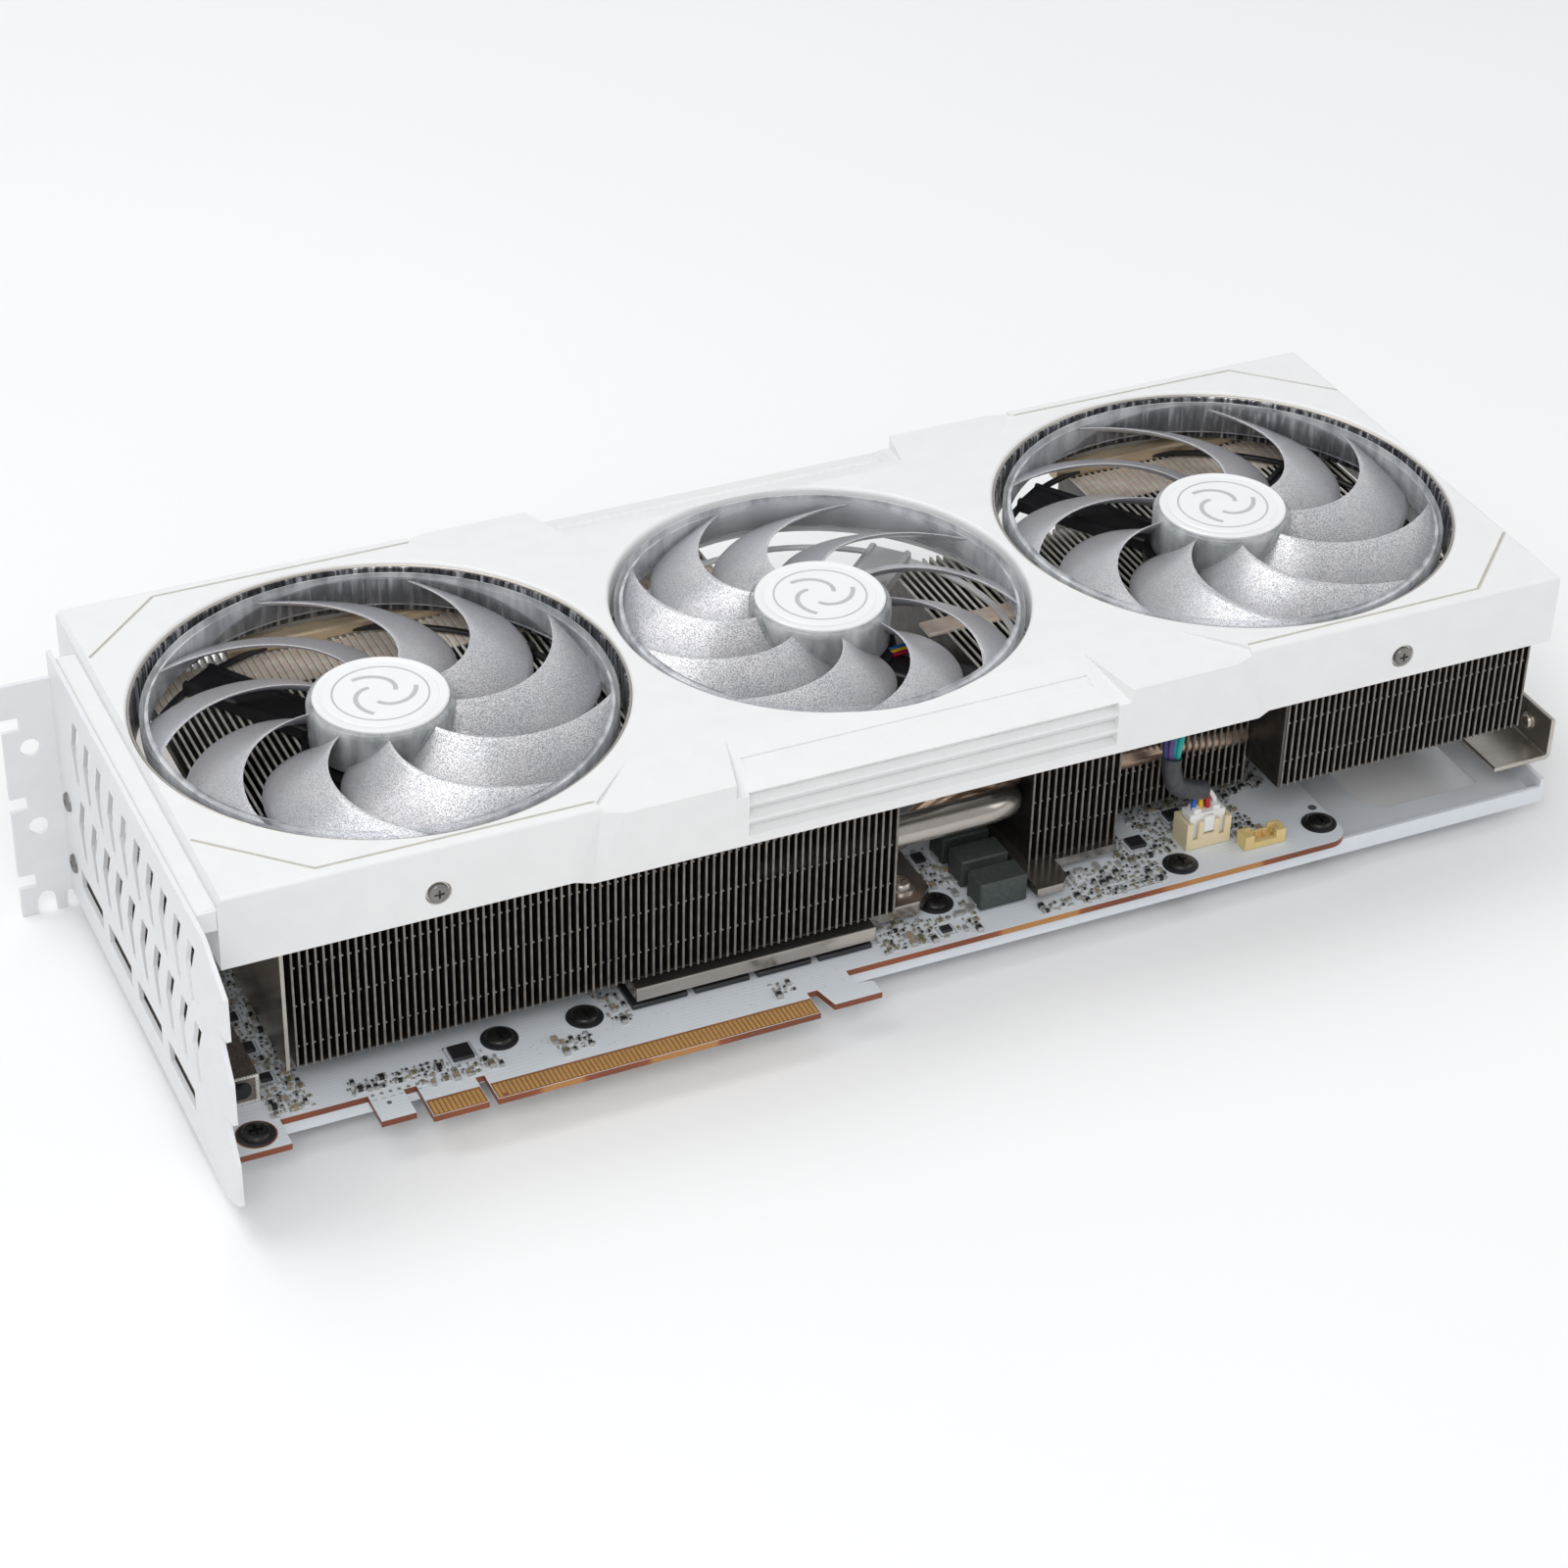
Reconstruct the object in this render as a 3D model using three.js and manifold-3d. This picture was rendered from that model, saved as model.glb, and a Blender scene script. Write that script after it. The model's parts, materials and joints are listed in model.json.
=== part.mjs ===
// Triple-fan graphics card as an assembly of separate pieces.
// Card frame, in millimetres: x runs from the slot bracket's outer face to the far end,
// y from the edge connector's lower edge upwards, z from the board's component face to the fans.
import * as THREE from 'three';
import { mergeVertices } from 'three/addons/utils/BufferGeometryUtils.js';
import Module from 'manifold-3d';

const wasm = await Module();
wasm.setup();

// ---- driving dimensions -------------------------------------------------------------
const GAP = 0.3;                       // clearance between pieces that touch
const BOARD = { thick: 1.57, left: 1.6, right: 264.5, front: 10.8, back: 118, corner: 5 };
const EDGE = { shortStart: 43.3, notchStart: 55.2, notchEnd: 57.1, end: 128.8 };
const SHROUD = { left: 6, right: 313, front: 13.6, back: 127, low: 38.3, top: 55, wall: 2 };
const SHOULDER = { start: 83, end: 237, run: 6, proud: 1.7 };
const LOUVRE = { start: 118, end: 202, depth: 15, drop: 5 };
const BRACKET = { thick: 1, low: -6.4, top: 54.9, tip: -8.7, tabY: 111.3, tabDepth: 11.4 };
const SLOT_PITCH = 20.32;              // spacing of expansion slots
const BACKPLATE = { left: 2.2, right: 317.5, front: 13, back: 121, low: -6, skin: 1.2, rimTop: -1.9 };
const WINDOW = { left: 277.3, right: 307.3, front: 23.3, back: 108, cut: 4.5 };
const FAN_Y = 70;
const FANS = [
  { side: 'left', x: 59.2, opening: 52, ring: 49.6, turn: 1 },
  { side: 'middle', x: 159.65, opening: 45.8, ring: 44.6, turn: -1 },
  { side: 'right', x: 260.1, opening: 52, ring: 49.6, turn: 1 },
];
const HUB = { radius: 15.6, wall: 1.8, low: 44.2, top: 54 };
const BLADES = 9;
const FRAME_Z = [39.5, 42.5];          // fan frame's bottom and top
const FIN_TOP = 38.9;
const FIN_PITCH = 12;
const FIN_THICK = 0.9;
const PIPE_RADIUS = 3;
const PIPE_ROWS = [34, 58, 82];        // y of the pipes that cross every stack
const PIPE_LOW = 10.5;                 // height of a pipe on the cold plate
const PIPE_HIGH = 22;                  // height of a pipe in the far stacks

// ---- small helpers ------------------------------------------------------------------
function solid(geometry) {
  const bare = geometry.clone();
  bare.deleteAttribute('normal');
  bare.deleteAttribute('uv');
  const merged = mergeVertices(bare, 1e-4);
  const mesh = new wasm.Mesh({
    numProp: 3,
    vertProperties: new Float32Array(merged.attributes.position.array),
    triVerts: new Uint32Array(merged.index.array),
  });
  return new wasm.Manifold(mesh);
}

function geometryOf(manifold) {
  const mesh = manifold.getMesh();
  const geometry = new THREE.BufferGeometry();
  geometry.setAttribute('position', new THREE.BufferAttribute(new Float32Array(mesh.vertProperties), 3));
  geometry.setIndex(new THREE.BufferAttribute(new Uint32Array(mesh.triVerts), 1));
  return geometry;
}

const join = (first, ...others) => others.reduce((sum, piece) => sum.add(piece), first);
const cut = (first, ...tools) => tools.reduce((rest, tool) => rest.subtract(tool), first);

function box(x0, x1, y0, y1, z0, z1) {
  const geometry = new THREE.BoxGeometry(x1 - x0, y1 - y0, z1 - z0);
  return solid(geometry.translate((x0 + x1) / 2, (y0 + y1) / 2, (z0 + z1) / 2));
}

function outline(points) {
  return new THREE.Shape(points.map(([a, b]) => new THREE.Vector2(a, b)));
}

function extruded(shape, length) {
  return new THREE.ExtrudeGeometry(shape, { depth: length, bevelEnabled: false, curveSegments: 8 });
}

// An outline in (x, y), standing from z0 to z1.
function plate(points, z0, z1) {
  const shape = points instanceof THREE.Shape ? points : outline(points);
  return solid(extruded(shape, z1 - z0).translate(0, 0, z0));
}

// An outline in (y, z), running from x0 to x1.
function alongX(points, x0, x1) {
  const toWorld = new THREE.Matrix4().makeBasis(
    new THREE.Vector3(0, 1, 0), new THREE.Vector3(0, 0, 1), new THREE.Vector3(1, 0, 0));
  return solid(extruded(outline(points), x1 - x0).applyMatrix4(toWorld).translate(x0, 0, 0));
}

// An outline in (x, z), running from y0 to y1.
function alongY(points, y0, y1) {
  const toWorld = new THREE.Matrix4().makeBasis(
    new THREE.Vector3(1, 0, 0), new THREE.Vector3(0, 0, 1), new THREE.Vector3(0, -1, 0));
  return solid(extruded(outline(points), y1 - y0).applyMatrix4(toWorld).translate(0, y1, 0));
}

function disc(x, y, radius, z0, z1, sides = 24) {
  const geometry = new THREE.CylinderGeometry(radius, radius, z1 - z0, sides);
  return solid(geometry.rotateX(Math.PI / 2).translate(x, y, (z0 + z1) / 2));
}

// A round rod along x (axis 'x') or y (axis 'y').
function rod(axis, centre, radius, length, sides = 16) {
  const geometry = new THREE.CylinderGeometry(radius, radius, length, sides);
  if (axis === 'x') geometry.rotateZ(Math.PI / 2);
  return solid(geometry.translate(...centre));
}

// A closed (radius, z) profile turned about the vertical line at (x, y).
function turned(profile, x, y, sides = 32) {
  const points = profile.map(([radius, z]) => new THREE.Vector2(radius, z));
  const geometry = new THREE.LatheGeometry(points, sides);
  return solid(geometry.rotateX(Math.PI / 2).translate(x, y, 0));
}

function ring(x, y, inner, outer, z0, z1, sides = 24) {
  return turned([[inner, z0], [outer, z0], [outer, z1], [inner, z1], [inner, z0]], x, y, sides);
}

// A tube along a smooth curve through the given points.
function tube(points, radius, steps, sides) {
  const path = new THREE.CatmullRomCurve3(points.map((p) => new THREE.Vector3(...p)), false, 'centripetal');
  const section = new THREE.Shape();
  for (let i = 0; i < sides; i += 1) {
    const angle = (2 * Math.PI * i) / sides;
    const place = [radius * Math.cos(angle), radius * Math.sin(angle)];
    if (i === 0) section.moveTo(...place);
    else section.lineTo(...place);
  }
  return solid(new THREE.ExtrudeGeometry(section, { steps, extrudePath: path, bevelEnabled: false }));
}

// ---- board and its parts ------------------------------------------------------------
const SCREW_PLACES = [[9, 8.5], [64.2, 18.1], [83, 17.9], [167.7, 24.9], [224, 16.8], [260.5, 18.4]];

function board() {
  const { front, back, left, right, corner } = BOARD;
  const shape = new THREE.Shape();
  shape.moveTo(left, 3.2);
  for (const [x, y] of [[14.8, 3.2], [14.8, 11.1], [33.2, 11.1], [33.2, 2.5], [40.6, 2.5],
    [40.6, 10.4], [EDGE.shortStart, 10.4], [EDGE.shortStart, 0], [EDGE.notchStart, 0],
    [EDGE.notchStart, 8.2], [EDGE.notchEnd, 8.2], [EDGE.notchEnd, 0], [EDGE.end, 0],
    [EDGE.end, 7.2], [131.2, 7.2], [132.6, 1.3], [143.6, 1.3], [143.6, 5.6], [139.6, 6.4],
    [139.6, front], [right - corner, front]]) shape.lineTo(x, y);
  shape.absarc(right - corner, front + corner, corner, -Math.PI / 2, 0, false);
  shape.lineTo(right, back);
  shape.lineTo(left, back);
  const holes = SCREW_PLACES.map(([x, y]) => disc(x, y, 1.7, -BOARD.thick - 1, 1, 8));
  return cut(plate(shape, -BOARD.thick, 0), ...holes);
}

function backplate() {
  const { left, right, front, back, low, skin, rimTop } = BACKPLATE;
  const outer = box(left, right, front, back, low, 0.2);
  const hollow = box(left + skin, right - skin, front + skin, back - skin, low + skin, 1);
  const lowRim = box(left - 1, right - skin, front - 1, back + 1, rimTop, 1);
  const window = plate([[WINDOW.left, WINDOW.front + WINDOW.cut], [WINDOW.left + WINDOW.cut, WINDOW.front],
    [WINDOW.right - 1.5, WINDOW.front], [WINDOW.right, WINDOW.front + 1.5],
    [WINDOW.right, WINDOW.back], [WINDOW.left, WINDOW.back]], low - 1, low + skin + 1);
  const posts = SCREW_PLACES.slice(1).map(([x, y]) => disc(x, y, 2.3, low + 0.5, rimTop, 8));
  return cut(join(cut(outer, hollow, lowRim), ...posts), window);
}

function chip(x, y, width, depth, height) {
  return box(x, x + width, y, y + depth, GAP, GAP + height);
}

// A package with its silicon die standing on the substrate.
function gpuPackage(x, y) {
  const substrate = box(x - 22, x + 22, y - 21, y + 21, GAP, GAP + 1.1);
  const die = box(x - 12, x + 12, y - 10, y + 10, GAP + 1, GAP + 1.8);
  return join(substrate, die);
}

function choke(y) {
  const body = box(175, 186.4, y, y + 6.6, GAP, 7.1);
  return cut(body, box(174, 176, y + 2.2, y + 4.4, GAP - 1, 1.3));
}

function powerConnector(x) {
  const [cell, pitch] = [2.8, 4.2];
  const body = box(x, x + 18.4, 104, 119.4, GAP, 10.6);
  const latchRib = box(x + 6.4, x + 12, 112, 119.4, 10, 12);
  const cells = [];
  for (let column = 0; column < 4; column += 1) {
    for (let row = 0; row < 2; row += 1) {
      const [cx, cz] = [x + 1.5 + column * pitch, 1.6 + row * pitch];
      cells.push(box(cx, cx + cell, 110, 121, cz, cz + cell));
    }
  }
  return cut(join(body, latchRib), ...cells);
}

// A display socket: a steel shell with its mouth at the slot bracket.
function socket(y, width) {
  const [low, high, skin, depth] = [GAP, 7, 0.9, 13];
  const shell = box(BRACKET.thick + GAP, depth, y - width / 2, y + width / 2, low, high);
  const mouth = box(0, depth - 1, y - width / 2 + skin, y + width / 2 - skin, low + skin, high - skin);
  return shell.subtract(mouth);
}

// ---- slot bracket -------------------------------------------------------------------
const SOCKETS = [[92.4, 17.8], [71.2, 17.8], [49.8, 17.8], [27.6, 18.8]];
const SLASH = { pitch: 8.95, count: 10, firstY: 11.5, rows: [20, 40] };
const TAB_HOLES_Z = [12, 12 + SLOT_PITCH];

function bracketBlade() {
  const { low, top, tip, tabY, thick } = BRACKET;
  const points = [[tabY + thick, low], [0, low], [-4.5, -4.5], [tip, -2]];
  for (let slot = 0; slot < 3; slot += 1) {
    const base = slot * SLOT_PITCH;
    points.push([tip, base + 8]);
    if (slot < 2) points.push([-3, base + 16.8], [-3, base + 17.5], [tip, base + SLOT_PITCH - 2]);
  }
  points.push([3.5, top], [tabY + thick, top]);
  return alongX(points.reverse(), 0, thick);
}

// An air slot shaped as a chevron; z is the height of its bend and y the middle of its top edge.
function slash(y, z) {
  return alongX([[y - 2.1, z + 8], [y + 2.2, z - 0.5], [y + 1.2, z - 8.6], [y + 3.4, z - 8.2],
    [y + 5.5, z], [y + 2.1, z + 8]], -1, 3);
}

function bracketTab() {
  const { thick, tabY, tabDepth, low } = BRACKET;
  const [bottom, top, notch] = [-10.8, 48.7, 3.3];
  const points = [[-tabDepth, bottom], [-7.8, bottom], [-7.8, -7.4], [-6.8, -5.6], [-5.7, -5.2],
    [-4.6, -5.6], [-3.6, -7.4], [-3.6, bottom], [-1.4, bottom], [-1, low], [thick, low],
    [thick, top], [-tabDepth, top]];
  for (const z of [37.1, 16.8, -3.5]) {
    points.push([-tabDepth, z + notch], [-7.6, z + notch], [-7.6, z], [-tabDepth, z]);
  }
  const sheet = alongY(points, tabY, tabY + thick);
  return cut(sheet, ...TAB_HOLES_Z.map((z) => rod('y', [-5.7, tabY, z], 2.2, 4, 12)));
}

function slotBracket() {
  const openings = SOCKETS.map(([y, width]) => box(-1, 3, y - width / 2 + 0.6, y + width / 2 - 0.6, 1, 6.3));
  for (const z of SLASH.rows) {
    for (let i = 0; i < SLASH.count; i += 1) openings.push(slash(SLASH.firstY + i * SLASH.pitch, z));
  }
  const screwHoles = [20.3, 4.1].map((z) => rod('x', [0, 105.8, z], 1.5, 6, 8));
  return cut(join(bracketBlade(), bracketTab()), ...openings, ...screwHoles);
}

function bracketScrew(z) {
  const head = rod('x', [-0.9, 105.8, z], 2.2, 1.2, 12);
  const shank = rod('x', [1.5, 105.8, z], 1.1, 5, 8);
  return join(head, shank);
}

// ---- shroud -------------------------------------------------------------------------
function shroudOutline() {
  const { left, right, front, back } = SHROUD;
  const { start, end, run, proud } = SHOULDER;
  return [[left, front], [start, front], [start + run, front - proud], [end - run, front - proud],
    [end, front], [right, front], [right, back], [end, back], [end - run, back + proud],
    [start + run, back + proud], [start, back], [left, back]];
}

// The sloping cut along a long top edge; side is -1 at the front and +1 at the back.
function louvreCut(side) {
  const edge = side < 0 ? SHROUD.front - SHOULDER.proud : SHROUD.back + SHOULDER.proud;
  const [inner, outer] = [edge - side * LOUVRE.depth, edge + side];
  const points = [[inner, SHROUD.top], [outer, SHROUD.top - LOUVRE.drop],
    [outer, SHROUD.top + 1], [inner, SHROUD.top + 1]];
  return alongX(side < 0 ? points.reverse() : points, LOUVRE.start, LOUVRE.end);
}

// Thicker material that stays inside the shell under a sloping cut.
function louvreBacking(side) {
  const wallFace = side < 0 ? SHROUD.front : SHROUD.back;
  const [y0, y1] = [wallFace, wallFace - side * 9].sort((a, b) => a - b);
  return box(LOUVRE.start - 1.5, LOUVRE.end + 1.5, y0, y1, SHROUD.top - 7.5, SHROUD.top);
}

function shroud() {
  const { left, right, front, back, low, top, wall } = SHROUD;
  const ledge = box(BRACKET.thick + GAP, left + 0.5, front + 0.4, back - 15, 48, 53);
  const body = join(plate(shroudOutline(), low, top), ledge);
  const underLouvres = [-1, 1].map((side) => louvreBacking(side));
  const room = box(left + wall, right - wall, front + wall, back - wall, low - 1, top - 2.6);
  const inside = cut(room, ...underLouvres);
  const bevel = alongY([[left - 1, top - 1.5], [left, top - 1.5], [left + 1.2, top], [left + 1.2, top + 1],
    [left - 1, top + 1]], front - 1, back + 1);
  const holes = FANS.map((fan) => disc(fan.x, FAN_Y, fan.opening, low, top + 1, 40));
  const screwHoles = SHROUD_SCREWS.map(([x, side]) => rod('y', [x, side < 0 ? front : back, 44], 1.5, 8, 8));
  return cut(body, inside, bevel, louvreCut(-1), louvreCut(1), ...holes, ...screwHoles);
}

const SHROUD_SCREWS = [[50.8, -1], [273.6, -1], [50.8, 1], [273.6, 1]];

function shroudScrew(x, side) {
  const face = side < 0 ? SHROUD.front : SHROUD.back;
  const head = rod('y', [x, face + side * 0.75, 44], 2.4, 0.9, 12);
  const shank = rod('y', [x, face - side * 0.4, 44], 1.1, 2.2, 8);
  return join(head, shank);
}

// ---- fans ---------------------------------------------------------------------------
function fanFrame({ x, ring: outer }) {
  const [low, top] = FRAME_Z;
  const rim = ring(x, FAN_Y, outer - 3, outer + 0.6, low, top);
  const motorCup = disc(x, FAN_Y, 17, low, top + 0.5);
  const arms = [];
  for (let i = 0; i < 4; i += 1) {
    const arm = new THREE.BoxGeometry(outer - 17, 7, top - low);
    arm.translate((outer + 13) / 2, 0, (low + top) / 2).rotateZ(Math.PI * (0.19 + i / 2));
    arms.push(solid(arm.translate(x, FAN_Y, 0)));
  }
  return join(rim, motorCup, ...arms);
}

// One blade: swept back and pitched. Its plate is bent from a flat box whose
// u runs outwards, v across the chord and w through the thickness, each from -0.5 to 0.5.
function blade(fan, index) {
  const [inner, outer] = [HUB.radius - 0.8, fan.ring - 1];
  const geometry = new THREE.BoxGeometry(1, 1, 1, 4, 1, 1);
  const place = geometry.attributes.position;
  for (let i = 0; i < place.count; i += 1) {
    const [u, v, w] = [place.getX(i) + 0.5, place.getY(i), place.getZ(i)];
    const radius = inner + u * (outer - inner);
    const chord = 0.62 - 0.12 * u;
    const angle = (2 * Math.PI * index) / BLADES + fan.turn * (0.75 * u * u + 0.1 * u + v * chord);
    const z = 49.2 + v * (7.4 - 1.6 * u) + w * 1.2;
    place.setXYZ(i, fan.x + radius * Math.cos(angle), FAN_Y + radius * Math.sin(angle), z);
  }
  if (fan.turn < 0) flip(geometry);
  return solid(geometry);
}

// Turns a mirrored geometry's triangles the right way out again.
function flip(geometry) {
  const index = geometry.index;
  for (let i = 0; i < index.count; i += 3) {
    const second = index.getX(i + 1);
    index.setX(i + 1, index.getX(i + 2));
    index.setX(i + 2, second);
  }
}

function impeller(fan) {
  const { radius, wall, low, top } = HUB;
  const hub = turned([[0, top - wall], [radius - wall, top - wall], [radius - wall, low], [radius, low],
    [radius, top - 1], [radius - 1, top], [0, top]], fan.x, FAN_Y, 24);
  const rim = ring(fan.x, FAN_Y, fan.ring - 1.4, fan.ring, 46, 54);
  const blades = Array.from({ length: BLADES }, (_, i) => blade(fan, i));
  return join(hub, rim, ...blades);
}

const fanCap = (fan) => disc(fan.x, FAN_Y, 14.4, HUB.top + 0.1, HUB.top + 0.8);
const fanShaft = (fan) => disc(fan.x, FAN_Y, 1.5, FRAME_Z[1] + 0.5 + GAP, HUB.top - HUB.wall - GAP, 12);
const fanStator = (fan) => ring(fan.x, FAN_Y, 2.2, 11.5, FRAME_Z[1] + 0.5 + GAP, 49, 16);

// ---- cooler -------------------------------------------------------------------------
// Upright fins side by side along x, held by a thin web at one height.
function finComb(x0, x1, low, web) {
  const count = Math.round((x1 - x0 - FIN_THICK) / FIN_PITCH);
  const pitch = (x1 - x0 - FIN_THICK) / count;
  const starts = Array.from({ length: count + 1 }, (_, i) => x0 + i * pitch);
  const points = [];
  for (const x of starts) points.push([x, web], [x, low], [x + FIN_THICK, low], [x + FIN_THICK, web]);
  for (const x of starts.reverse()) {
    points.push([x + FIN_THICK, web + 0.8], [x + FIN_THICK, FIN_TOP], [x, FIN_TOP], [x, web + 0.8]);
  }
  return points;
}

// Square tunnels along x that clear round pipes at the given rows.
function pipeTunnels(rows, z, x0, x1, low = z - PIPE_RADIUS - GAP) {
  const half = PIPE_RADIUS + GAP;
  return rows.map((y) => box(x0, x1, y - half, y + half, low, z + half));
}

function leftStack() {
  const [x0, x1, low] = [18.4, 153.4, 7.2];
  const fins = alongY(finComb(x0, x1, low, 15), 16.5, 123);
  const channels = pipeTunnels([...PIPE_ROWS, 104], PIPE_LOW, x0 - 1, x1 + 1, low - 1);
  const bendTunnel = pipeTunnels([23.4], PIPE_HIGH + 1, 118, x1 + 1);
  return cut(fins, ...channels, ...bendTunnel);
}

function middleStack() {
  const fins = alongY(finComb(212.4, 246.4, 11.5, 28), 30, 98);
  return cut(fins, ...pipeTunnels(PIPE_ROWS, PIPE_HIGH, 211, 248));
}

function rightStack() {
  const fins = alongY(finComb(247.7, 310, 14.5, 28), 16.5, 123);
  return cut(fins, ...pipeTunnels(PIPE_ROWS, PIPE_HIGH, 247, 311));
}

function vrmFinBlock() {
  const base = plate([[187.4, 15.2], [195.9, 15.2], [195.9, 23.6], [211.4, 23.6], [211.4, 98], [187.4, 98]], 2.6, 4.6);
  const fins = [];
  for (const x of [190.8, 197.3, 203.9, 210.5]) fins.push(box(x, x + FIN_THICK, 25, 98, 4, FIN_TOP));
  const web = box(190.8, 211.4, 25, 98, 27, 28);
  return cut(join(base, web, ...fins), ...pipeTunnels(PIPE_ROWS, PIPE_HIGH, 186, 212));
}

function coldPlate() {
  const points = [[93.5, 15], [148.6, 15], [148.6, 19.6], [161, 19.6], [165.5, 24], [165.5, 98], [76, 98], [76, 31], [93.5, 31]];
  return plate(points, 2.6, 6);
}

// A pipe that leaves the cold plate and climbs into the far stacks.
function longPipe(y) {
  return tube([[96, y, PIPE_LOW], [140, y, PIPE_LOW], [153, y, PIPE_LOW], [160, y, PIPE_LOW + 1.6],
    [174, y, PIPE_HIGH - 1.6], [182, y, PIPE_HIGH], [190, y, PIPE_HIGH], [304, y, PIPE_HIGH]], PIPE_RADIUS, 24, 6);
}

// The front pipe comes out of the left stack and turns back between the stacks.
function frontPipe() {
  const z = PIPE_HIGH + 1;
  return tube([[122, 23.4, z], [150, 23.4, z], [172, 23.4, z], [180, 24.6, z - 2.2], [182.8, 28.4, z - 7.6],
    [183, 35, z - 11.4], [183, 44, z - 12.5], [183, 52, z - 12.5]], PIPE_RADIUS, 20, 8);
}

const returnPipe = () => rod('x', [92, 104, PIPE_LOW], PIPE_RADIUS, 116, 8);

function endBracket() {
  const points = [[304.3, 4], [318.6, 4], [319.5, 4.9], [319.5, 14.6], [318.3, 14.6], [318.3, 5.2], [304.3, 5.2]];
  return alongY(points, 15, 118);
}

// ---- small electrical pieces --------------------------------------------------------
function fanHeader() {
  const body = box(227.3, 238.5, 20.3, 26.5, GAP, 7);
  return body.subtract(box(228.1, 237.7, 21.1, 25.7, 1.8, 8));
}

function fanPlug() {
  return join(box(228.4, 237.4, 21.4, 25.4, 2.1, 8.6), box(229.4, 236.4, 22, 24.8, 8, 9.6));
}

function ledHeader() {
  const body = box(239.4, 249.8, 15.2, 19, GAP, 4.8);
  return body.subtract(box(240.2, 249, 16, 18.2, 1.8, 6));
}

function fanLead() {
  return tube([[233, 23.4, 10.3], [232.2, 23.3, 13.6], [228, 22.6, 15.4], [224.4, 22.6, 17.6],
    [223.4, 23.2, 22], [224, 24.4, 28], [226, 26.4, 34], [227.4, 28.2, 39.1]], 1.7, 14, 8);
}

const SWITCH = { x: 168, y: 113.6, width: 9, depth: 4, height: 4 };

function biosSwitchBody() {
  const { x, y, width, depth, height } = SWITCH;
  const body = box(x, x + width, y, y + depth, GAP, GAP + height);
  return body.subtract(box(x + 2, x + 7, y + 1.5, y + depth + 1, 1.4, 3.2));
}

function biosSwitchSlider() {
  const { x, y, depth } = SWITCH;
  return box(x + 2.3, x + 4.3, y + 1.8, y + depth + 1.6, 1.6, 3);
}

// ---- assembly -----------------------------------------------------------------------
const PAINT = {
  whiteMetal: { color: 0xe9ebec, roughness: 0.45, metalness: 0.2 },
  whitePlastic: { color: 0xf2f2f1, roughness: 0.5, metalness: 0 },
  whiteBoard: { color: 0xdfe4e8, roughness: 0.4, metalness: 0 },
  steel: { color: 0xa9a49c, roughness: 0.35, metalness: 0.9 },
  nickel: { color: 0x8b857d, roughness: 0.3, metalness: 0.9 },
  darkFin: { color: 0x5c5853, roughness: 0.4, metalness: 0.8 },
  black: { color: 0x17181a, roughness: 0.5, metalness: 0 },
  smoky: { color: 0xa4a5ac, roughness: 0.25, metalness: 0.1 },
  ferrite: { color: 0x3e4742, roughness: 0.6, metalness: 0 },
  cream: { color: 0xe6d6ad, roughness: 0.55, metalness: 0 },
  silicon: { color: 0x3a5c46, roughness: 0.3, metalness: 0.1 },
  lead: { color: 0x20242c, roughness: 0.6, metalness: 0 },
};
const materials = {};
for (const [name, look] of Object.entries(PAINT)) {
  materials[name] = new THREE.MeshStandardMaterial({ ...look, name });
}

const card = new THREE.Group();
const add = (name, piece, paint) => {
  const mesh = new THREE.Mesh(geometryOf(piece), materials[paint]);
  mesh.name = name;
  card.add(mesh);
};

add('pcb', board(), 'whiteBoard');
add('backplate', backplate(), 'whiteMetal');
add('io_bracket', slotBracket(), 'whiteMetal');
add('shroud', shroud(), 'whitePlastic');
add('end_bracket', endBracket(), 'steel');

for (const fan of FANS) {
  add(`fan_frame_${fan.side}`, fanFrame(fan), 'black');
  add(`fan_stator_${fan.side}`, fanStator(fan), 'steel');
  add(`fan_shaft_${fan.side}`, fanShaft(fan), 'steel');
  add(`fan_impeller_${fan.side}`, impeller(fan), 'smoky');
  add(`fan_cap_${fan.side}`, fanCap(fan), 'whitePlastic');
}

add('fin_stack_left', leftStack(), 'darkFin');
add('fin_stack_middle', middleStack(), 'darkFin');
add('fin_stack_right', rightStack(), 'darkFin');
add('vrm_fin_block', vrmFinBlock(), 'darkFin');
add('cold_plate', coldPlate(), 'nickel');
add('heatpipe_1', frontPipe(), 'nickel');
PIPE_ROWS.forEach((y, i) => add(`heatpipe_${i + 2}`, longPipe(y), 'nickel'));
add('heatpipe_5', returnPipe(), 'nickel');

add('gpu_package', gpuPackage(121, 62), 'silicon');
const MEMORY = [[92.9, 15.6], [107.1, 15.6], [121.4, 15.6], [135.6, 15.6], [80, 46], [80, 64], [149.5, 46], [149.5, 64]];
MEMORY.forEach(([x, y], i) => add(`memory_${i + 1}`, chip(x, y, 12.4, 14, 1.1), 'black'));
[18, 27.2, 36.4].forEach((y, i) => add(`choke_${i + 1}`, choke(y), 'ferrite'));
[205.5, 226.5].forEach((x, i) => add(`power_connector_${i + 1}`, powerConnector(x), 'black'));
add('bios_switch_body', biosSwitchBody(), 'black');
add('bios_switch_slider', biosSwitchSlider(), 'whitePlastic');
add('fan_header', fanHeader(), 'cream');
add('fan_plug', fanPlug(), 'whitePlastic');
add('led_header', ledHeader(), 'cream');
add('fan_lead', fanLead(), 'lead');
SOCKETS.forEach(([y, width], i) => add(i < 3 ? `dp_port_${i + 1}` : 'hdmi_port', socket(y, width), 'steel'));
[20.3, 4.1].forEach((z, i) => add(`bracket_screw_${i + 1}`, bracketScrew(z), 'steel'));
SHROUD_SCREWS.forEach(([x, side], i) => add(`shroud_screw_${i + 1}`, shroudScrew(x, side), 'steel'));

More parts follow.
